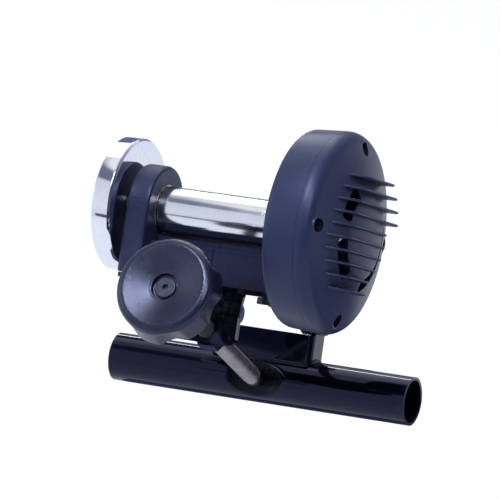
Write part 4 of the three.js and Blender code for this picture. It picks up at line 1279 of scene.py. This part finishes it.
@dataclass
class Gasket:
    """The paper gasket between the castings and the seat plate."""

    half_length: float = 42.0
    front: float = -112.0
    back: float = -76.0
    bottom: float = 56.72
    top: float = 56.98

    def build(self, shop: Workshop) -> None:
        """Makes and fits the gasket: a flat box, its top and bottom closed in their middle.

        Args:
            shop: The workshop that dresses it.
        """
        half = self.half_length
        ring = np.array([[-half, self.front], [half, self.front], [half, self.back], [-half, self.back]])
        middle = np.tile(ring.mean(axis=0), (4, 1))
        levels = ((middle, self.bottom), (ring, self.bottom), (ring, self.top), (middle, self.top))
        rows = [np.column_stack([outline, np.full(4, z)]) for outline, z in levels]
        surface = Surface().grid(np.stack(rows))
        shop.fit(surface.piece("seat_gasket", LEANING, sharp=30), Body.SWING, Slot.PAINTED_STEEL)


@dataclass
class Rotor:
    """The chromed roller and flywheel.

    Attributes:
        roller_rounding: Rounding of the roller's inner and outer edges.
        wheel_face: x of the flywheel's side towards the roller.
        wheel_back: x of its outer side, which is recessed.
        recess_slope: How much wider the recess is at its mouth than at its floor.
        rim_roundings: Roundings of the recess's floor and mouth, of the rim and of the bore.
    """

    bore: float = 6.3
    roller_radius: float = 15.0
    roller_length: float = 86.4
    roller_rounding: Span = (0.3, 1.1)
    roller_sides: int = 160
    wheel_radius: float = 43.0
    wheel_face: float = -63.2
    wheel_back: float = -76.4
    wheel_sides: int = 200
    chamfer: float = 1.4
    recess_radius: float = 30.0
    recess_depth: float = 3.0
    recess_slope: float = 1.4
    rim_roundings: tuple[float, float, float, float] = (0.8, 0.4, 0.25, 0.2)

    def roller(self) -> Piece:
        """Sleeve with broken edges and a bore.

        Returns:
            The roller.
        """
        half = self.roller_length / 2
        radii = (self.bore, self.roller_radius)
        grid = sleeve((-half, half), radii, self.roller_rounding, steps=6, sides=self.roller_sides)
        return Surface().grid(grid, close_rows=True).piece("roller_chrome", ROLLER_LINE)

    def flywheel(self) -> Piece:
        """Disc with chamfered rims and a turned recess on its outer side.

        Returns:
            The flywheel.
        """
        back, face, rim, chamfer = self.wheel_back, self.wheel_face, self.wheel_radius, self.chamfer
        floor = back + self.recess_depth
        at_floor, at_mouth, at_rim, at_bore = self.rim_roundings
        grid = turned([
            [floor, self.bore, at_bore], [floor, self.recess_radius, at_floor],
            [back, self.recess_radius + self.recess_slope, at_mouth],
            [back, rim - chamfer, at_rim], [back + chamfer, rim, at_rim],
            [face - chamfer, rim, at_rim], [face, rim - chamfer, at_rim], [face, self.bore, at_bore],
        ], steps=5, sides=self.wheel_sides)
        return Surface().grid(grid, close_rows=True).piece("flywheel_chrome", ROLLER_LINE, sharp=25)

    def build(self, shop: Workshop) -> None:
        """Makes and fits the roller and the flywheel.

        Args:
            shop: The workshop that dresses them.
        """
        shop.fit(self.roller(), Body.ROTOR, Slot.POLISHED_CHROME, "roller_sleeve")
        wheel = shop.fit(self.flywheel(), Body.ROTOR, Slot.POLISHED_CHROME, "flywheel")
        wheel.data.materials[0] = shop.special[WHEEL_FINISH]


@dataclass
class Housing:
    """The back shell and the finned cover of the brake.

    Attributes:
        thin_wall: Wall of the cover's face.
        draft: How much narrower the shell is at its back.
        shell_back: x of the shell's back.
        seam: x of the seam between shell and cover.
        rim: Length of the cover's straight rim.
        seam_gap, seam_break: How far the rim ends before the seam, and the size of its broken edge.
        shoulder: Radius of the cover's rounded shoulder.
        cone: Slope of the cover's face.
        screw_circle: Radius of the circle that the four cover screws lie on.
        bore: Radius of the screws' counterbores.
        dark: How far past a counterbore's wall, and from how far below the face, its painted shade reaches.
        warp: Reach of the grid's warp round a counterbore, as a share of its radius.
        column_step: Degrees between the grid's columns, at most.
        ring_rows: Rows of the cover's rings, from its middle outwards.
        vents: Start and end of each vent, in degrees.
        vent_edge: How far from a vent's edge its rounded corners pull the grid.
        lip_ends, lip_radii: x of the ends, and radii, of the lip that centres the cover in the shell.
        boss_depths: How far the bosses' foot and floor lie behind the seam.
        boss_sunk: How far below the face the bosses end.
        post_ends: x of the ends of the posts in the shell.
        recess_floor, recess_radius: x of the floor, and radius, of the recess in the shell's back.
        mouth_length: Length of the thin mouth that the cover's lip sits in.
        shell_roundings: Roundings of the recess's edges, the mouth, its step, the inside and the floor.
        fin_least: Least height of a fin's section, so that no face of it vanishes.
        long_fins: How many of the fins, from the top, run on to the cone's far side.
        fin_reach, fin_reach_low: Radius where the fins start, above and below the middle.
    """

    radius: float = 64.56
    wall: float = 3.0
    thin_wall: float = 1.8
    draft: float = 1.6
    back_round: float = 5.0
    shell_back: float = 51.6
    seam: float = 75.0
    seam_gap: float = 0.06
    seam_break: float = 0.1
    rim: float = 1.2
    shoulder: float = 9.0
    cone: float = math.radians(19.5)
    dome_radius: float = 26.5
    dome_rise: float = 3.2
    screw_circle: float = 54.8
    screw_hole: float = 2.3
    bore: float = 4.4
    dark: Span = (0.1, 0.5)
    warp: float = 1.5
    column_step: float = 1.25
    ring_rows: tuple[int, ...] = (16, 7, 9, 4, 11, 20)
    vent_inner: float = 27.5
    vent_outer: float = 36.0
    vents: tuple[Span, ...] = ((126, 167), (188, 237), (281, 377))
    vent_corner: float = 2.2
    vent_edge: float = 3.0
    lip_ends: Span = (70.0, 76.0)
    lip_radii: Span = (59.3, 61.3)
    lip_rounding: float = 0.3
    boss_depths: Span = (5.2, 2.2)
    boss_sunk: float = 1.0
    boss_wall: float = 1.3
    boss_rounding: float = 0.15
    post_ends: Span = (55.0, 69.5)
    post_radius: float = 5.1
    post_rounding: float = 0.2
    recess_floor: float = 59.6
    recess_radius: float = 28.0
    shaft_hole: float = 13.0
    mouth_length: float = 10.0
    shell_roundings: tuple[float, float, float, float, float] = (0.8, 0.1, 0.2, 3.0, 0.3)
    fins: int = 10
    fin_pitch: float = 8.0
    fin_thickness: float = 1.5
    fin_proud: float = 2.0
    fin_steps: int = 15
    fin_edge_points: int = 9
    fin_least: float = 1e-4
    long_fins: int = 4
    fin_reach: float = 45.0
    fin_reach_low: float = 48.0

    @property
    def cone_radius(self) -> float:
        """Radius at which the shoulder runs into the cone."""
        return self.radius - self.shoulder * (1 - math.sin(self.cone))

    @property
    def side(self) -> float:
        """x at which the shoulder starts."""
        return self.seam + SEAT_GAP + self.rim

    def face(self, radius: Array) -> Array:
        """x of the cover's outer face: shoulder arc, cone, then a shallow dome.

        At the radius r the arc of radius s rises by sqrt(s^2 - (r - R + s)^2) from the rim, the cone
        rises evenly inwards, and the dome of radius D rises by h (1 - (r / D)^2) more.

        Args:
            radius: Distance from the housing's line.

        Returns:
            x at each radius.
        """
        cone_x = self.side + self.shoulder * math.cos(self.cone)
        dome_x = cone_x + (self.cone_radius - self.dome_radius) * math.tan(self.cone)
        from_centre = radius - self.radius + self.shoulder
        arc = self.side + np.sqrt(np.maximum(self.shoulder**2 - from_centre**2, 0))
        slope = cone_x + (self.cone_radius - radius) * math.tan(self.cone)
        dome = dome_x + self.dome_rise * (1 - (radius / self.dome_radius) ** 2)
        return np.where(radius >= self.cone_radius, arc, np.where(radius >= self.dome_radius, slope, dome))

    def _columns(self) -> Array:
        """Angles round the cover, with one at each vent's end and each counterbore's side.

        Returns:
            The angles in radians.
        """
        half = math.degrees(self.bore / self.screw_circle)
        marks = [angle % 360 for pair in self.vents for angle in pair]
        for turn in (0, 90, 180, 270):
            marks += [(turn + k * half) % 360 for k in (-self.warp, -1, 0, 1, self.warp)]
        marks = np.unique(np.round(marks, 6))
        ends = np.append(marks[1:], marks[0] + 360)
        steps = np.ceil((ends - marks) / self.column_step).astype(int)
        parts = [np.linspace(a, b, n, endpoint=False) for a, b, n in zip(marks, ends, steps)]
        return np.radians(np.concatenate(parts))

    def _rows(self) -> tuple[Array, Array]:
        """Places of the cover's rows, from the dome's middle to the rim.

        Returns:
            Radius and x of each row.
        """
        low, high = self.screw_circle - self.bore, self.screw_circle + self.bore
        before = low - (self.warp - 1) * self.bore
        rings = (0.0, self.vent_inner, self.vent_outer, before, low, high)
        *counts, arc_count = self.ring_rows
        flat = [np.linspace(a, b, n)[1:] for a, b, n in zip(rings, rings[1:], counts)]
        first = math.acos((high - self.radius + self.shoulder) / self.shoulder)
        arc = self.radius - self.shoulder + self.shoulder * np.cos(np.linspace(first, 0, arc_count)[1:])
        radius = np.concatenate([[0.0], *flat, arc, [self.radius] * 3])
        x = self.face(radius)
        end = self.seam + self.seam_gap
        x[-3:] = [self.side - self.rim / 2, end + self.seam_break, end]
        radius[-1] -= self.seam_break
        return radius, x

    def _warped(self, r: Array, a: Array) -> tuple[Array, Array]:
        """Warps the grid round the counterbores.

        A grid point at (u, v) from a counterbore's middle, with s = max(|u|, |v|) and e its true
        distance, moves to (u, v) * s / e, so that the square cell block of half side R becomes a circle.

        Args:
            r: Radius of each point.
            a: Angle of each point.

        Returns:
            The new radii and angles.
        """
        quarter = nearest_quarter(a)
        up, along = r - self.screw_circle, (a - quarter) * self.screw_circle
        square, true = np.maximum(abs(up), abs(along)), np.maximum(np.hypot(up, along), TINY)
        blend = 1 - smooth_step(square, self.bore, self.bore * self.warp)
        scale = 1 + blend * (square / true - 1)
        return self.screw_circle + up * scale, quarter + along * scale / self.screw_circle

    def _vents_rounded(self, r: Array, a: Array) -> Array:
        """Rounds the vents' corners: rows near a vent's end are pulled towards its middle on an arc.

        Args:
            r: Radius of each point.
            a: Angle of each point.

        Returns:
            The new radii.
        """
        corner = self.vent_corner
        middle_r = (self.vent_inner + self.vent_outer) / 2
        for start, end in self.vents:
            past, left = (np.degrees(a) - start) % 360, (end - np.degrees(a)) % 360
            near = np.clip(corner - np.radians(np.minimum(past, left)) * middle_r, 0, corner)
            pull = np.where(past <= (end - start) + 1e-6, corner - np.sqrt(corner**2 - near**2), 0)
            reach = 1 - smooth_step(abs(abs(r - middle_r) - (self.vent_outer - middle_r)), 0, self.vent_edge)
            r = r - np.sign(r - middle_r) * pull * reach
        return r

    def cover(self) -> Piece:
        """Cover: a polar grid on the outer face, with the vents and the counterbores left out.

        Returns:
            The cover with its fins, its screw bosses and its lip.
        """
        angle = self._columns()
        base, x = self._rows()
        r = np.repeat(base[:, None], len(angle), axis=1)
        a = np.repeat(angle[None], len(base), axis=0)
        on_face = (base < self.radius - MERGE / 2)[:, None]
        warped_r, warped_a = self._warped(r, a)
        r, a = np.where(on_face, warped_r, r), np.where(on_face, warped_a, a)
        r = self._vents_rounded(r, a)
        outer_x = np.where(on_face, self.face(r), x[:, None])
        outer = np.stack([outer_x, r * np.cos(a), r * np.sin(a)], axis=-1)
        turned_in = smooth_step(r, self.screw_circle + self.bore, self.radius)
        inner_r = r - self.wall * turned_in
        inner_x = outer_x - self.thin_wall * (1 - turned_in)
        inner = np.stack([inner_x, inner_r * np.cos(a), inner_r * np.sin(a)], axis=-1)
        surface = Surface().sheet(outer, inner, self._kept(base, angle))
        self._bosses(surface)
        rounding = (self.lip_rounding, self.lip_rounding)
        lip = sleeve(self.lip_ends, self.lip_radii, rounding, steps=3, sides=128)
        surface.grid(lip, close_rows=True)
        for i in range(self.fins):
            self._fin(surface, ((self.fins - 1) / 2 - i) * self.fin_pitch, i < self.long_fins)
        return surface.piece("finned_cover_shell", COVER_LINE, sharp=32)

    def _kept(self, base: Array, angle: Array) -> Array:
        """Finds which cells of the cover's grid are wall: not those in a vent or a counterbore.

        Args:
            base: Radius of each row before the warp.
            angle: Angle of each column before the warp.

        Returns:
            True for each cell of wall, of shape (rows - 1, columns).
        """
        middle_r = (base[:-1] + base[1:])[:, None] / 2
        middle_a = (angle + (np.roll(angle, -1) - angle) % (2 * np.pi) / 2)[None]
        aside = abs(middle_a - nearest_quarter(middle_a)) * self.screw_circle
        keep = np.maximum(abs(middle_r - self.screw_circle), aside) > self.bore
        band = (middle_r > self.vent_inner) & (middle_r < self.vent_outer)
        for start, end in self.vents:
            keep &= ~(band & (((np.degrees(middle_a) - start) % 360) < end - start))
        return keep

    def _around_screws(self, surface: Surface, grid: Array, twist: float = 0.0) -> None:
        """Adds the same turned form at each of the four cover screws.

        Args:
            surface: The surface that it is added to.
            grid: The form, about its own line.
            twist: Turn of the four screws about the housing's line.
        """
        moved = grid + np.array([0, self.screw_circle, 0])
        for k in range(4):
            surface.grid(moved @ about_x(k * QUARTER - twist).T, close_rows=True)

    def _bosses(self, surface: Surface) -> None:
        """Adds the four screw bosses: tubes with a floor, under the counterbores.

        Args:
            surface: The cover's surface.
        """
        low, floor = (self.seam - depth for depth in self.boss_depths)
        top = float(self.face(np.array(self.screw_circle))) - self.boss_sunk
        hole, inner, outer = self.screw_hole, self.bore, self.bore + self.boss_wall
        corners = ((floor, hole), (floor, inner), (top, inner), (top, outer), (low, outer), (low, hole))
        outline = [[*corner, self.boss_rounding] for corner in corners]
        self._around_screws(surface, turned(outline, steps=2, sides=48))

    def _fin(self, surface: Surface, z: float, is_long: bool) -> None:
        """Adds one fin: a round-edged section carried along its outline, from the face to the crest.

        The outline rises from the cone on a quadratic curve, runs flat, and falls on another one.

        Args:
            surface: The cover's surface.
            z: Height of the fin's plane on the cover.
            is_long: Whether it runs on to the cone's far side.
        """
        reach = self.fin_reach if z > 0 else self.fin_reach_low
        near = -math.sqrt(reach**2 - z**2)
        far = -near if is_long else math.sqrt(max(self.dome_radius**2 - z**2, self.fin_pitch**2))
        crest = float(self.face(np.array(0.0))) + self.fin_proud
        root = [float(self.face(np.array(math.hypot(y, z)))) - self.wall / 2 for y in (near, far)]
        rise = self.dome_radius / 2
        t = np.linspace(0, 1, self.fin_steps)[:, None]
        up = curve([root[0], near], [crest, near + rise / 2], [crest, near + rise], t)
        run = (1 - t) * [crest, near + rise] + t * [crest, far - self.fin_pitch]
        down = curve([crest, far - self.fin_pitch], [crest, far], [root[1], far], t)
        edge = np.vstack([up, run[1:], down[1:]])
        foot = np.minimum(self.face(np.hypot(edge[:, 1], z)) - self.wall / 2, edge[:, 0])[:, None]
        half = self.fin_thickness / 2
        turn = np.linspace(-QUARTER, QUARTER, self.fin_edge_points)
        height = np.maximum(edge[:, :1] - foot, self.fin_least)
        rounding = np.minimum(half, height / 2)
        flank = np.zeros_like(height)
        climb = np.hstack([flank, height - rounding * (1 - np.cos(turn)[None]), flank])
        aside = np.concatenate([[-half], half * np.sin(turn), [half]])[None] * np.clip(height / half, 0, 1)
        points = np.stack([foot + climb, np.broadcast_to(edge[:, 1:], climb.shape), z + aside], axis=-1)
        surface.grid(points)

    def shell(self) -> Piece:
        """Back shell: a cup with a recess in its back wall and a post for each cover screw.

        Returns:
            The shell.
        """
        radius, wall, seam = self.radius, self.wall, self.seam
        inner, floor = radius - wall, self.recess_floor
        edge, crisp, step, hollow, fine = self.shell_roundings
        grid = turned([
            [self.shell_back, self.recess_radius, edge],
            [self.shell_back, radius - self.draft, self.back_round],
            [seam, radius, crisp], [seam, inner, crisp], [seam - self.mouth_length, inner, step],
            [self.shell_back + wall, inner - self.draft, hollow],
            [self.shell_back + wall, self.recess_radius + wall, edge],
            [floor + wall, self.recess_radius + wall, edge], [floor + wall, self.shaft_hole, fine],
            [floor, self.shaft_hole, fine], [floor, self.recess_radius, fine],
        ], steps=8, sides=200)
        surface = Surface().grid(grid, close_rows=True)
        rounding = (self.post_rounding, self.post_rounding)
        post = sleeve(self.post_ends, (self.screw_hole, self.post_radius), rounding, steps=2, sides=36)
        self._around_screws(surface, post, COVER_TWIST)
        return surface.piece("back_shell_cup", ROLLER_LINE, sharp=40)

    def build(self, shop: Workshop) -> None:
        """Makes and fits the cover, with painted shade inside its counterbores, and the shell.

        Args:
            shop: The workshop that dresses them.
        """
        cover = shop.fit(self.cover(), Body.SWING, Slot.HOUSING_PLASTIC, "finned_cover")
        place = shop.middles(cover, COVER_LINE)
        radius = np.hypot(place[:, 1], place[:, 2])
        quarter = nearest_quarter(np.arctan2(place[:, 2], place[:, 1]))
        off_y = place[:, 1] - self.screw_circle * np.cos(quarter)
        off_z = place[:, 2] - self.screw_circle * np.sin(quarter)
        past, below = self.dark
        # Painted shade inside the counterbores.
        chosen = (np.hypot(off_y, off_z) < self.bore + past) & (place[:, 0] < self.face(radius) - below)
        shop.finish_part(cover, BORE_SHADE_FINISH, chosen)
        shop.fit(self.shell(), Body.SWING, Slot.HOUSING_PLASTIC, "back_shell")


# Stage, light and camera


def put(name: str, data: bpy.types.ID) -> Piece:
    """Makes an object of a mesh, a lamp or a camera and puts it into the scene.

    Args:
        name: Its name.
        data: What it shows.

    Returns:
        The object.
    """
    made = bpy.data.objects.new(name, data)
    bpy.context.collection.objects.link(made)
    return made


def stand(made: Piece, axes: tuple[Array, Array, Array], place: Array | Place) -> None:
    """Stands an object in the scene.

    Args:
        made: The object.
        axes: Its x, y and z axis.
        place: Its place in metres.
    """
    turn = np.eye(4)
    turn[:3, :3] = np.stack(axes, axis=1)
    turn[:3, 3] = place
    made.matrix_world = Matrix(turn.tolist())


def plate(name: str, corners: tuple[Place, ...]) -> Piece:
    """Makes a four-cornered plate that is part of the stage.

    Args:
        name: Its name and its material's.
        corners: Its corners, in metres.

    Returns:
        The plate, with a material of its own.
    """
    mesh = bpy.data.meshes.new(name)
    mesh.from_pydata(corners, [], [(0, 1, 2, 3)])
    material = bpy.data.materials.new(name)
    material.use_nodes = True
    mesh.materials.append(material)
    made = put(name, mesh)
    return made


@dataclass(frozen=True)
class Lamp:
    """A rectangular soft light.

    Attributes:
        name: Its name.
        place: Where it hangs, in metres.
        aim: The point that it faces.
        size: Width and height in metres.
        power: Watts.
        color: Its colour.
    """

    name: str
    place: Place
    aim: Place
    size: Span
    power: float
    color: Color

    def build(self) -> None:
        """Hangs the lamp facing its aim, its width square to the line from front to back."""
        data = bpy.data.lights.new(self.name, "AREA")
        data.shape = "RECTANGLE"
        data.size, data.size_y = self.size
        data.energy = self.power
        data.color = self.color
        away = unit(np.array(self.place, float) - np.array(self.aim, float))
        aside = unit(np.cross(FRONT_TO_BACK, away))
        stand(put(self.name, data), (aside, np.cross(away, aside), away), self.place)


@dataclass(frozen=True)
class Card:
    """A dark card that only reflections see.

    Attributes:
        name: Its name.
        corners: Its four corners, in metres.
        color: Its colour.
    """

    name: str
    corners: tuple[Place, Place, Place, Place]
    color: Color = (0.09, 0.10, 0.19)

    def build(self) -> None:
        """Sets up the card."""
        made = plate(self.name, self.corners)
        tree = made.data.materials[0].node_tree
        values = {"Base Color": self.color, "Roughness": 1.0, "Specular IOR Level": 0.0}
        for name, wanted in values.items():
            feed(tree, wanted, tree.nodes["Principled BSDF"].inputs[name])
        made.visible_camera = False
        made.visible_diffuse = False
        made.visible_shadow = False


FRONT_TO_BACK = (0.0, 1.0, 0.05)
UNIT_MIDDLE = (0, -0.05, 0.1)
UNIT_FRONT = (0, -0.15, 0.11)
FLOOR_DROP = 0.12
CARD_DROP = 0.085
FLOOR_Z = CAD_BOX[0].z - FLOOR_DROP
CARD_Z = CAD_BOX[0].z - CARD_DROP
LAMPS = (
    Lamp("overhead", (-0.3, 0.75, 1.5), UNIT_MIDDLE, (1.4, 1.2), 3.6, (0.95, 0.97, 1.0)),
    Lamp("back strip", (-0.75, 1.3, 0.95), UNIT_MIDDLE, (2.4, 0.07), 8.5, (0.97, 0.98, 1.0)),
    Lamp("key", (-0.10, -0.74, 1.40), UNIT_FRONT, (0.42, 0.42), 16.0, (0.93, 0.95, 1.0)),
    Lamp("edge", (0.62, -0.75, 1.20), UNIT_FRONT, (1.0, 0.3), 13.0, (0.93, 0.95, 1.0)),
    Lamp("side", (-1.4, -0.7, 0.7), UNIT_MIDDLE, (0.8, 1.0), 4.0, (0.92, 0.95, 1.0)),
)
CARDS = (
    Card("wheel flag", ((-0.60, 0.20, 0.16), (-0.15, 0.20, 0.16), (-0.19, 0.20, 0.34), (-0.60, 0.20, 0.34))),
    Card("floor flag", ((-0.135, 0.0, CARD_Z), (0.8, 0.0, CARD_Z), (0.8, 0.27, CARD_Z),
                        (-0.21, 0.27, CARD_Z))),
    Card("screw flag", ((-0.03, 0.08, -0.08), (0.045, 0.08, -0.08), (0.045, 0.08, 0.03),
                        (-0.03, 0.08, 0.03))),
    Card("web flag", ((-0.155, -0.25, 0.107), (-0.07, -0.25, 0.096), (-0.07, -0.25, 0.120),
                      (-0.155, -0.25, 0.120))),
)


@dataclass
class Studio:
    """Floor, room and the camera at the photograph's angle.

    Attributes:
        scale: Pixels for a millimetre at the unit.
        distance: Distance of the camera in millimetres.
        picture: Pixels across the photograph.
        zero: Pixel at which the frame's zero lies.
        depth: How far beyond the frame's zero, along the view, the camera aims, in millimetres.
        sensor: Width of the camera's sensor in millimetres.
        clip: Nearest and farthest distance that the camera sees, in metres.
        right: Direction of the picture's right in the frame.
        up: Direction of the picture's top in the frame.
        floor_x, floor_y: Ends of the floor in metres.
        glow_share: Share of the floor's own light in what camera and reflections see of it.
        mirrored_floor: Colour of that light in reflections.
        sky: Height, from 0 straight down to 1 straight up, and colour of the room before the unit.
        rear_low, rear_high: Colours of the room behind the unit, low and high.
        rear_right, front_right: Colours of its right side, behind and before the unit.
        rear_span: y of a direction between which the room changes from front to rear.
        high_span: z between which its rear changes from low to high.
        rear_right_span, front_right_span: x between which its right side comes in.
    """

    scale: float = 1.566
    distance: float = 3000.0
    picture: float = 500.0
    zero: Span = (263.97, 381.74)
    depth: float = -75.0
    sensor: float = 36.0
    clip: Span = (0.1, 50.0)
    right: Place = (0.9039, 0.4231, 0.0)
    up: Place = (-0.1293, 0.2750, 0.9508)
    floor_x: Span = (-6, 6)
    floor_y: Span = (-1.5, 12)
    floor_color: Color = (0.88, 0.89, 0.92)
    floor_roughness: float = 0.9
    glow_share: float = 0.85
    mirrored_floor: Color = (0.84, 0.89, 1.0)
    sky: tuple[tuple[float, Color], ...] = (
        (0.0, (0.60, 0.66, 0.86)), (0.40, (0.50, 0.55, 0.76)), (0.42, (0.76, 0.79, 0.92)),
        (0.60, (0.86, 0.89, 1.00)), (0.86, (0.74, 0.77, 0.90)), (0.88, (0.16, 0.18, 0.28)),
        (0.935, (0.18, 0.20, 0.30)), (0.95, (1.0, 1.0, 1.0)),
    )
    rear_low: Color = (0.30, 0.32, 0.42)
    rear_high: Color = (0.92, 0.94, 1.0)
    rear_right: Color = (0.36, 0.36, 0.54)
    front_right: Color = (0.07, 0.08, 0.14)
    rear_span: Span = (-0.15, 0.35)
    high_span: Span = (0.34, 0.40)
    rear_right_span: Span = (0.25, 0.6)
    front_right_span: Span = (0.0, 0.35)

    def camera(self) -> None:
        """Long lens: the picture's middle looks at the point that lies there on the unit."""
        right = unit(np.array(self.right))
        ahead = unit(np.cross(self.up, right))
        up = np.cross(right, ahead)
        aside = (self.picture / 2 - self.zero[0]) / self.scale
        above = (self.zero[1] - self.picture / 2) / self.scale
        target = aside * right + above * up + self.depth * ahead
        data = bpy.data.cameras.new("camera")
        data.sensor_width = self.sensor
        data.lens = self.sensor * self.scale * self.distance / self.picture
        data.clip_start, data.clip_end = self.clip
        made = put("camera", data)
        stand(made, (right, up, -ahead), (target - ahead * self.distance) * MM)
        bpy.context.scene.camera = made

    def floor(self) -> None:
        """Pale floor that shows white and keeps a soft shadow."""
        (left, right), (front, back) = self.floor_x, self.floor_y
        around_it = ((left, front), (right, front), (right, back), (left, back))
        made = plate("floor", tuple((x, y, FLOOR_Z) for x, y in around_it))
        tree = made.data.materials[0].node_tree
        shader = tree.nodes["Principled BSDF"]
        feed(tree, self.floor_color, shader.inputs["Base Color"])
        feed(tree, self.floor_roughness, shader.inputs["Roughness"])
        path = tree.nodes.new("ShaderNodeLightPath").outputs
        glow = tree.nodes.new("ShaderNodeEmission")
        glow.inputs["Strength"].default_value = 1.0
        feed(tree, mix_colors(tree, path["Is Glossy Ray"], WHITE, self.mirrored_floor), glow.inputs["Color"])
        seen = worked_out(tree, Operation.MAXIMUM, path["Is Camera Ray"], path["Is Glossy Ray"])
        seen = worked_out(tree, Operation.MAXIMUM, seen, path["Is Transmission Ray"])
        mix = tree.nodes.new("ShaderNodeMixShader")
        share = product(tree, seen, self.glow_share)
        for wanted, socket in zip((share, shader.outputs[0], glow.outputs[0]), mix.inputs):
            feed(tree, wanted, socket)
        feed(tree, mix.outputs[0], tree.nodes["Material Output"].inputs["Surface"])

    def room(self) -> None:
        """Room all round, white to the camera: light above and behind in reflections, dull at the right."""
        world = bpy.data.worlds.new("studio")
        bpy.context.scene.world = world
        world.use_nodes = True
        tree = world.node_tree
        split = tree.nodes.new("ShaderNodeSeparateXYZ")
        feed(tree, tree.nodes.new("ShaderNodeTexCoord").outputs["Generated"], split.inputs[0])
        x, y, z = split.outputs
        ramp = tree.nodes.new("ShaderNodeValToRGB")
        feed(tree, remap(tree, z, (-1.0, 1.0)), ramp.inputs[0])
        elements = ramp.color_ramp.elements
        while len(elements) < len(self.sky):
            elements.new(0.5)
        for element, (place, color) in zip(elements, self.sky):
            element.position = place
            element.color = (*color, 1)
        rear = mix_colors(tree, remap(tree, z, self.high_span), self.rear_low, self.rear_high)
        rear = mix_colors(tree, remap(tree, x, self.rear_right_span), rear, self.rear_right)
        sky = ramp.outputs["Color"]
        front = mix_colors(tree, remap(tree, x, self.front_right_span), sky, self.front_right)
        all_round = mix_colors(tree, remap(tree, y, self.rear_span), front, rear)
        path = tree.nodes.new("ShaderNodeLightPath")
        color = mix_colors(tree, path.outputs["Is Camera Ray"], all_round, WHITE)
        back = tree.nodes["Background"]
        feed(tree, color, back.inputs["Color"])
        back.inputs["Strength"].default_value = 1.0

    def build(self) -> None:
        """Sets the stage, the light and the view."""
        bpy.context.scene.view_settings.view_transform = "Standard"
        self.floor()
        self.room()
        for item in (*LAMPS, *CARDS):
            item.build()
        self.camera()
        log.info("stage, room, %d lamps, %d cards and camera made", len(LAMPS), len(CARDS))


BENT_SHEETS = ("frame_bracket", "swing_bracket")
SHEET_EDGE = 0.5
SOLID_EDGE = 0.3


def main() -> None:
    """Builds the sub-assemblies in order, then the studio."""
    logging.basicConfig(level=logging.INFO, format="%(name)s %(message)s")
    shop = Workshop()
    for assembly in (CrossTube(), TensionScrew(), Gasket(), Rotor(), Housing()):
        assembly.build(shop)
    for name, node in frame["nodes"].items():
        if not node.hide_render:
            shop.dress_node(name, SHEET_EDGE if name in BENT_SHEETS else SOLID_EDGE)
    Studio().build()


if __name__ == "__main__":
    main()
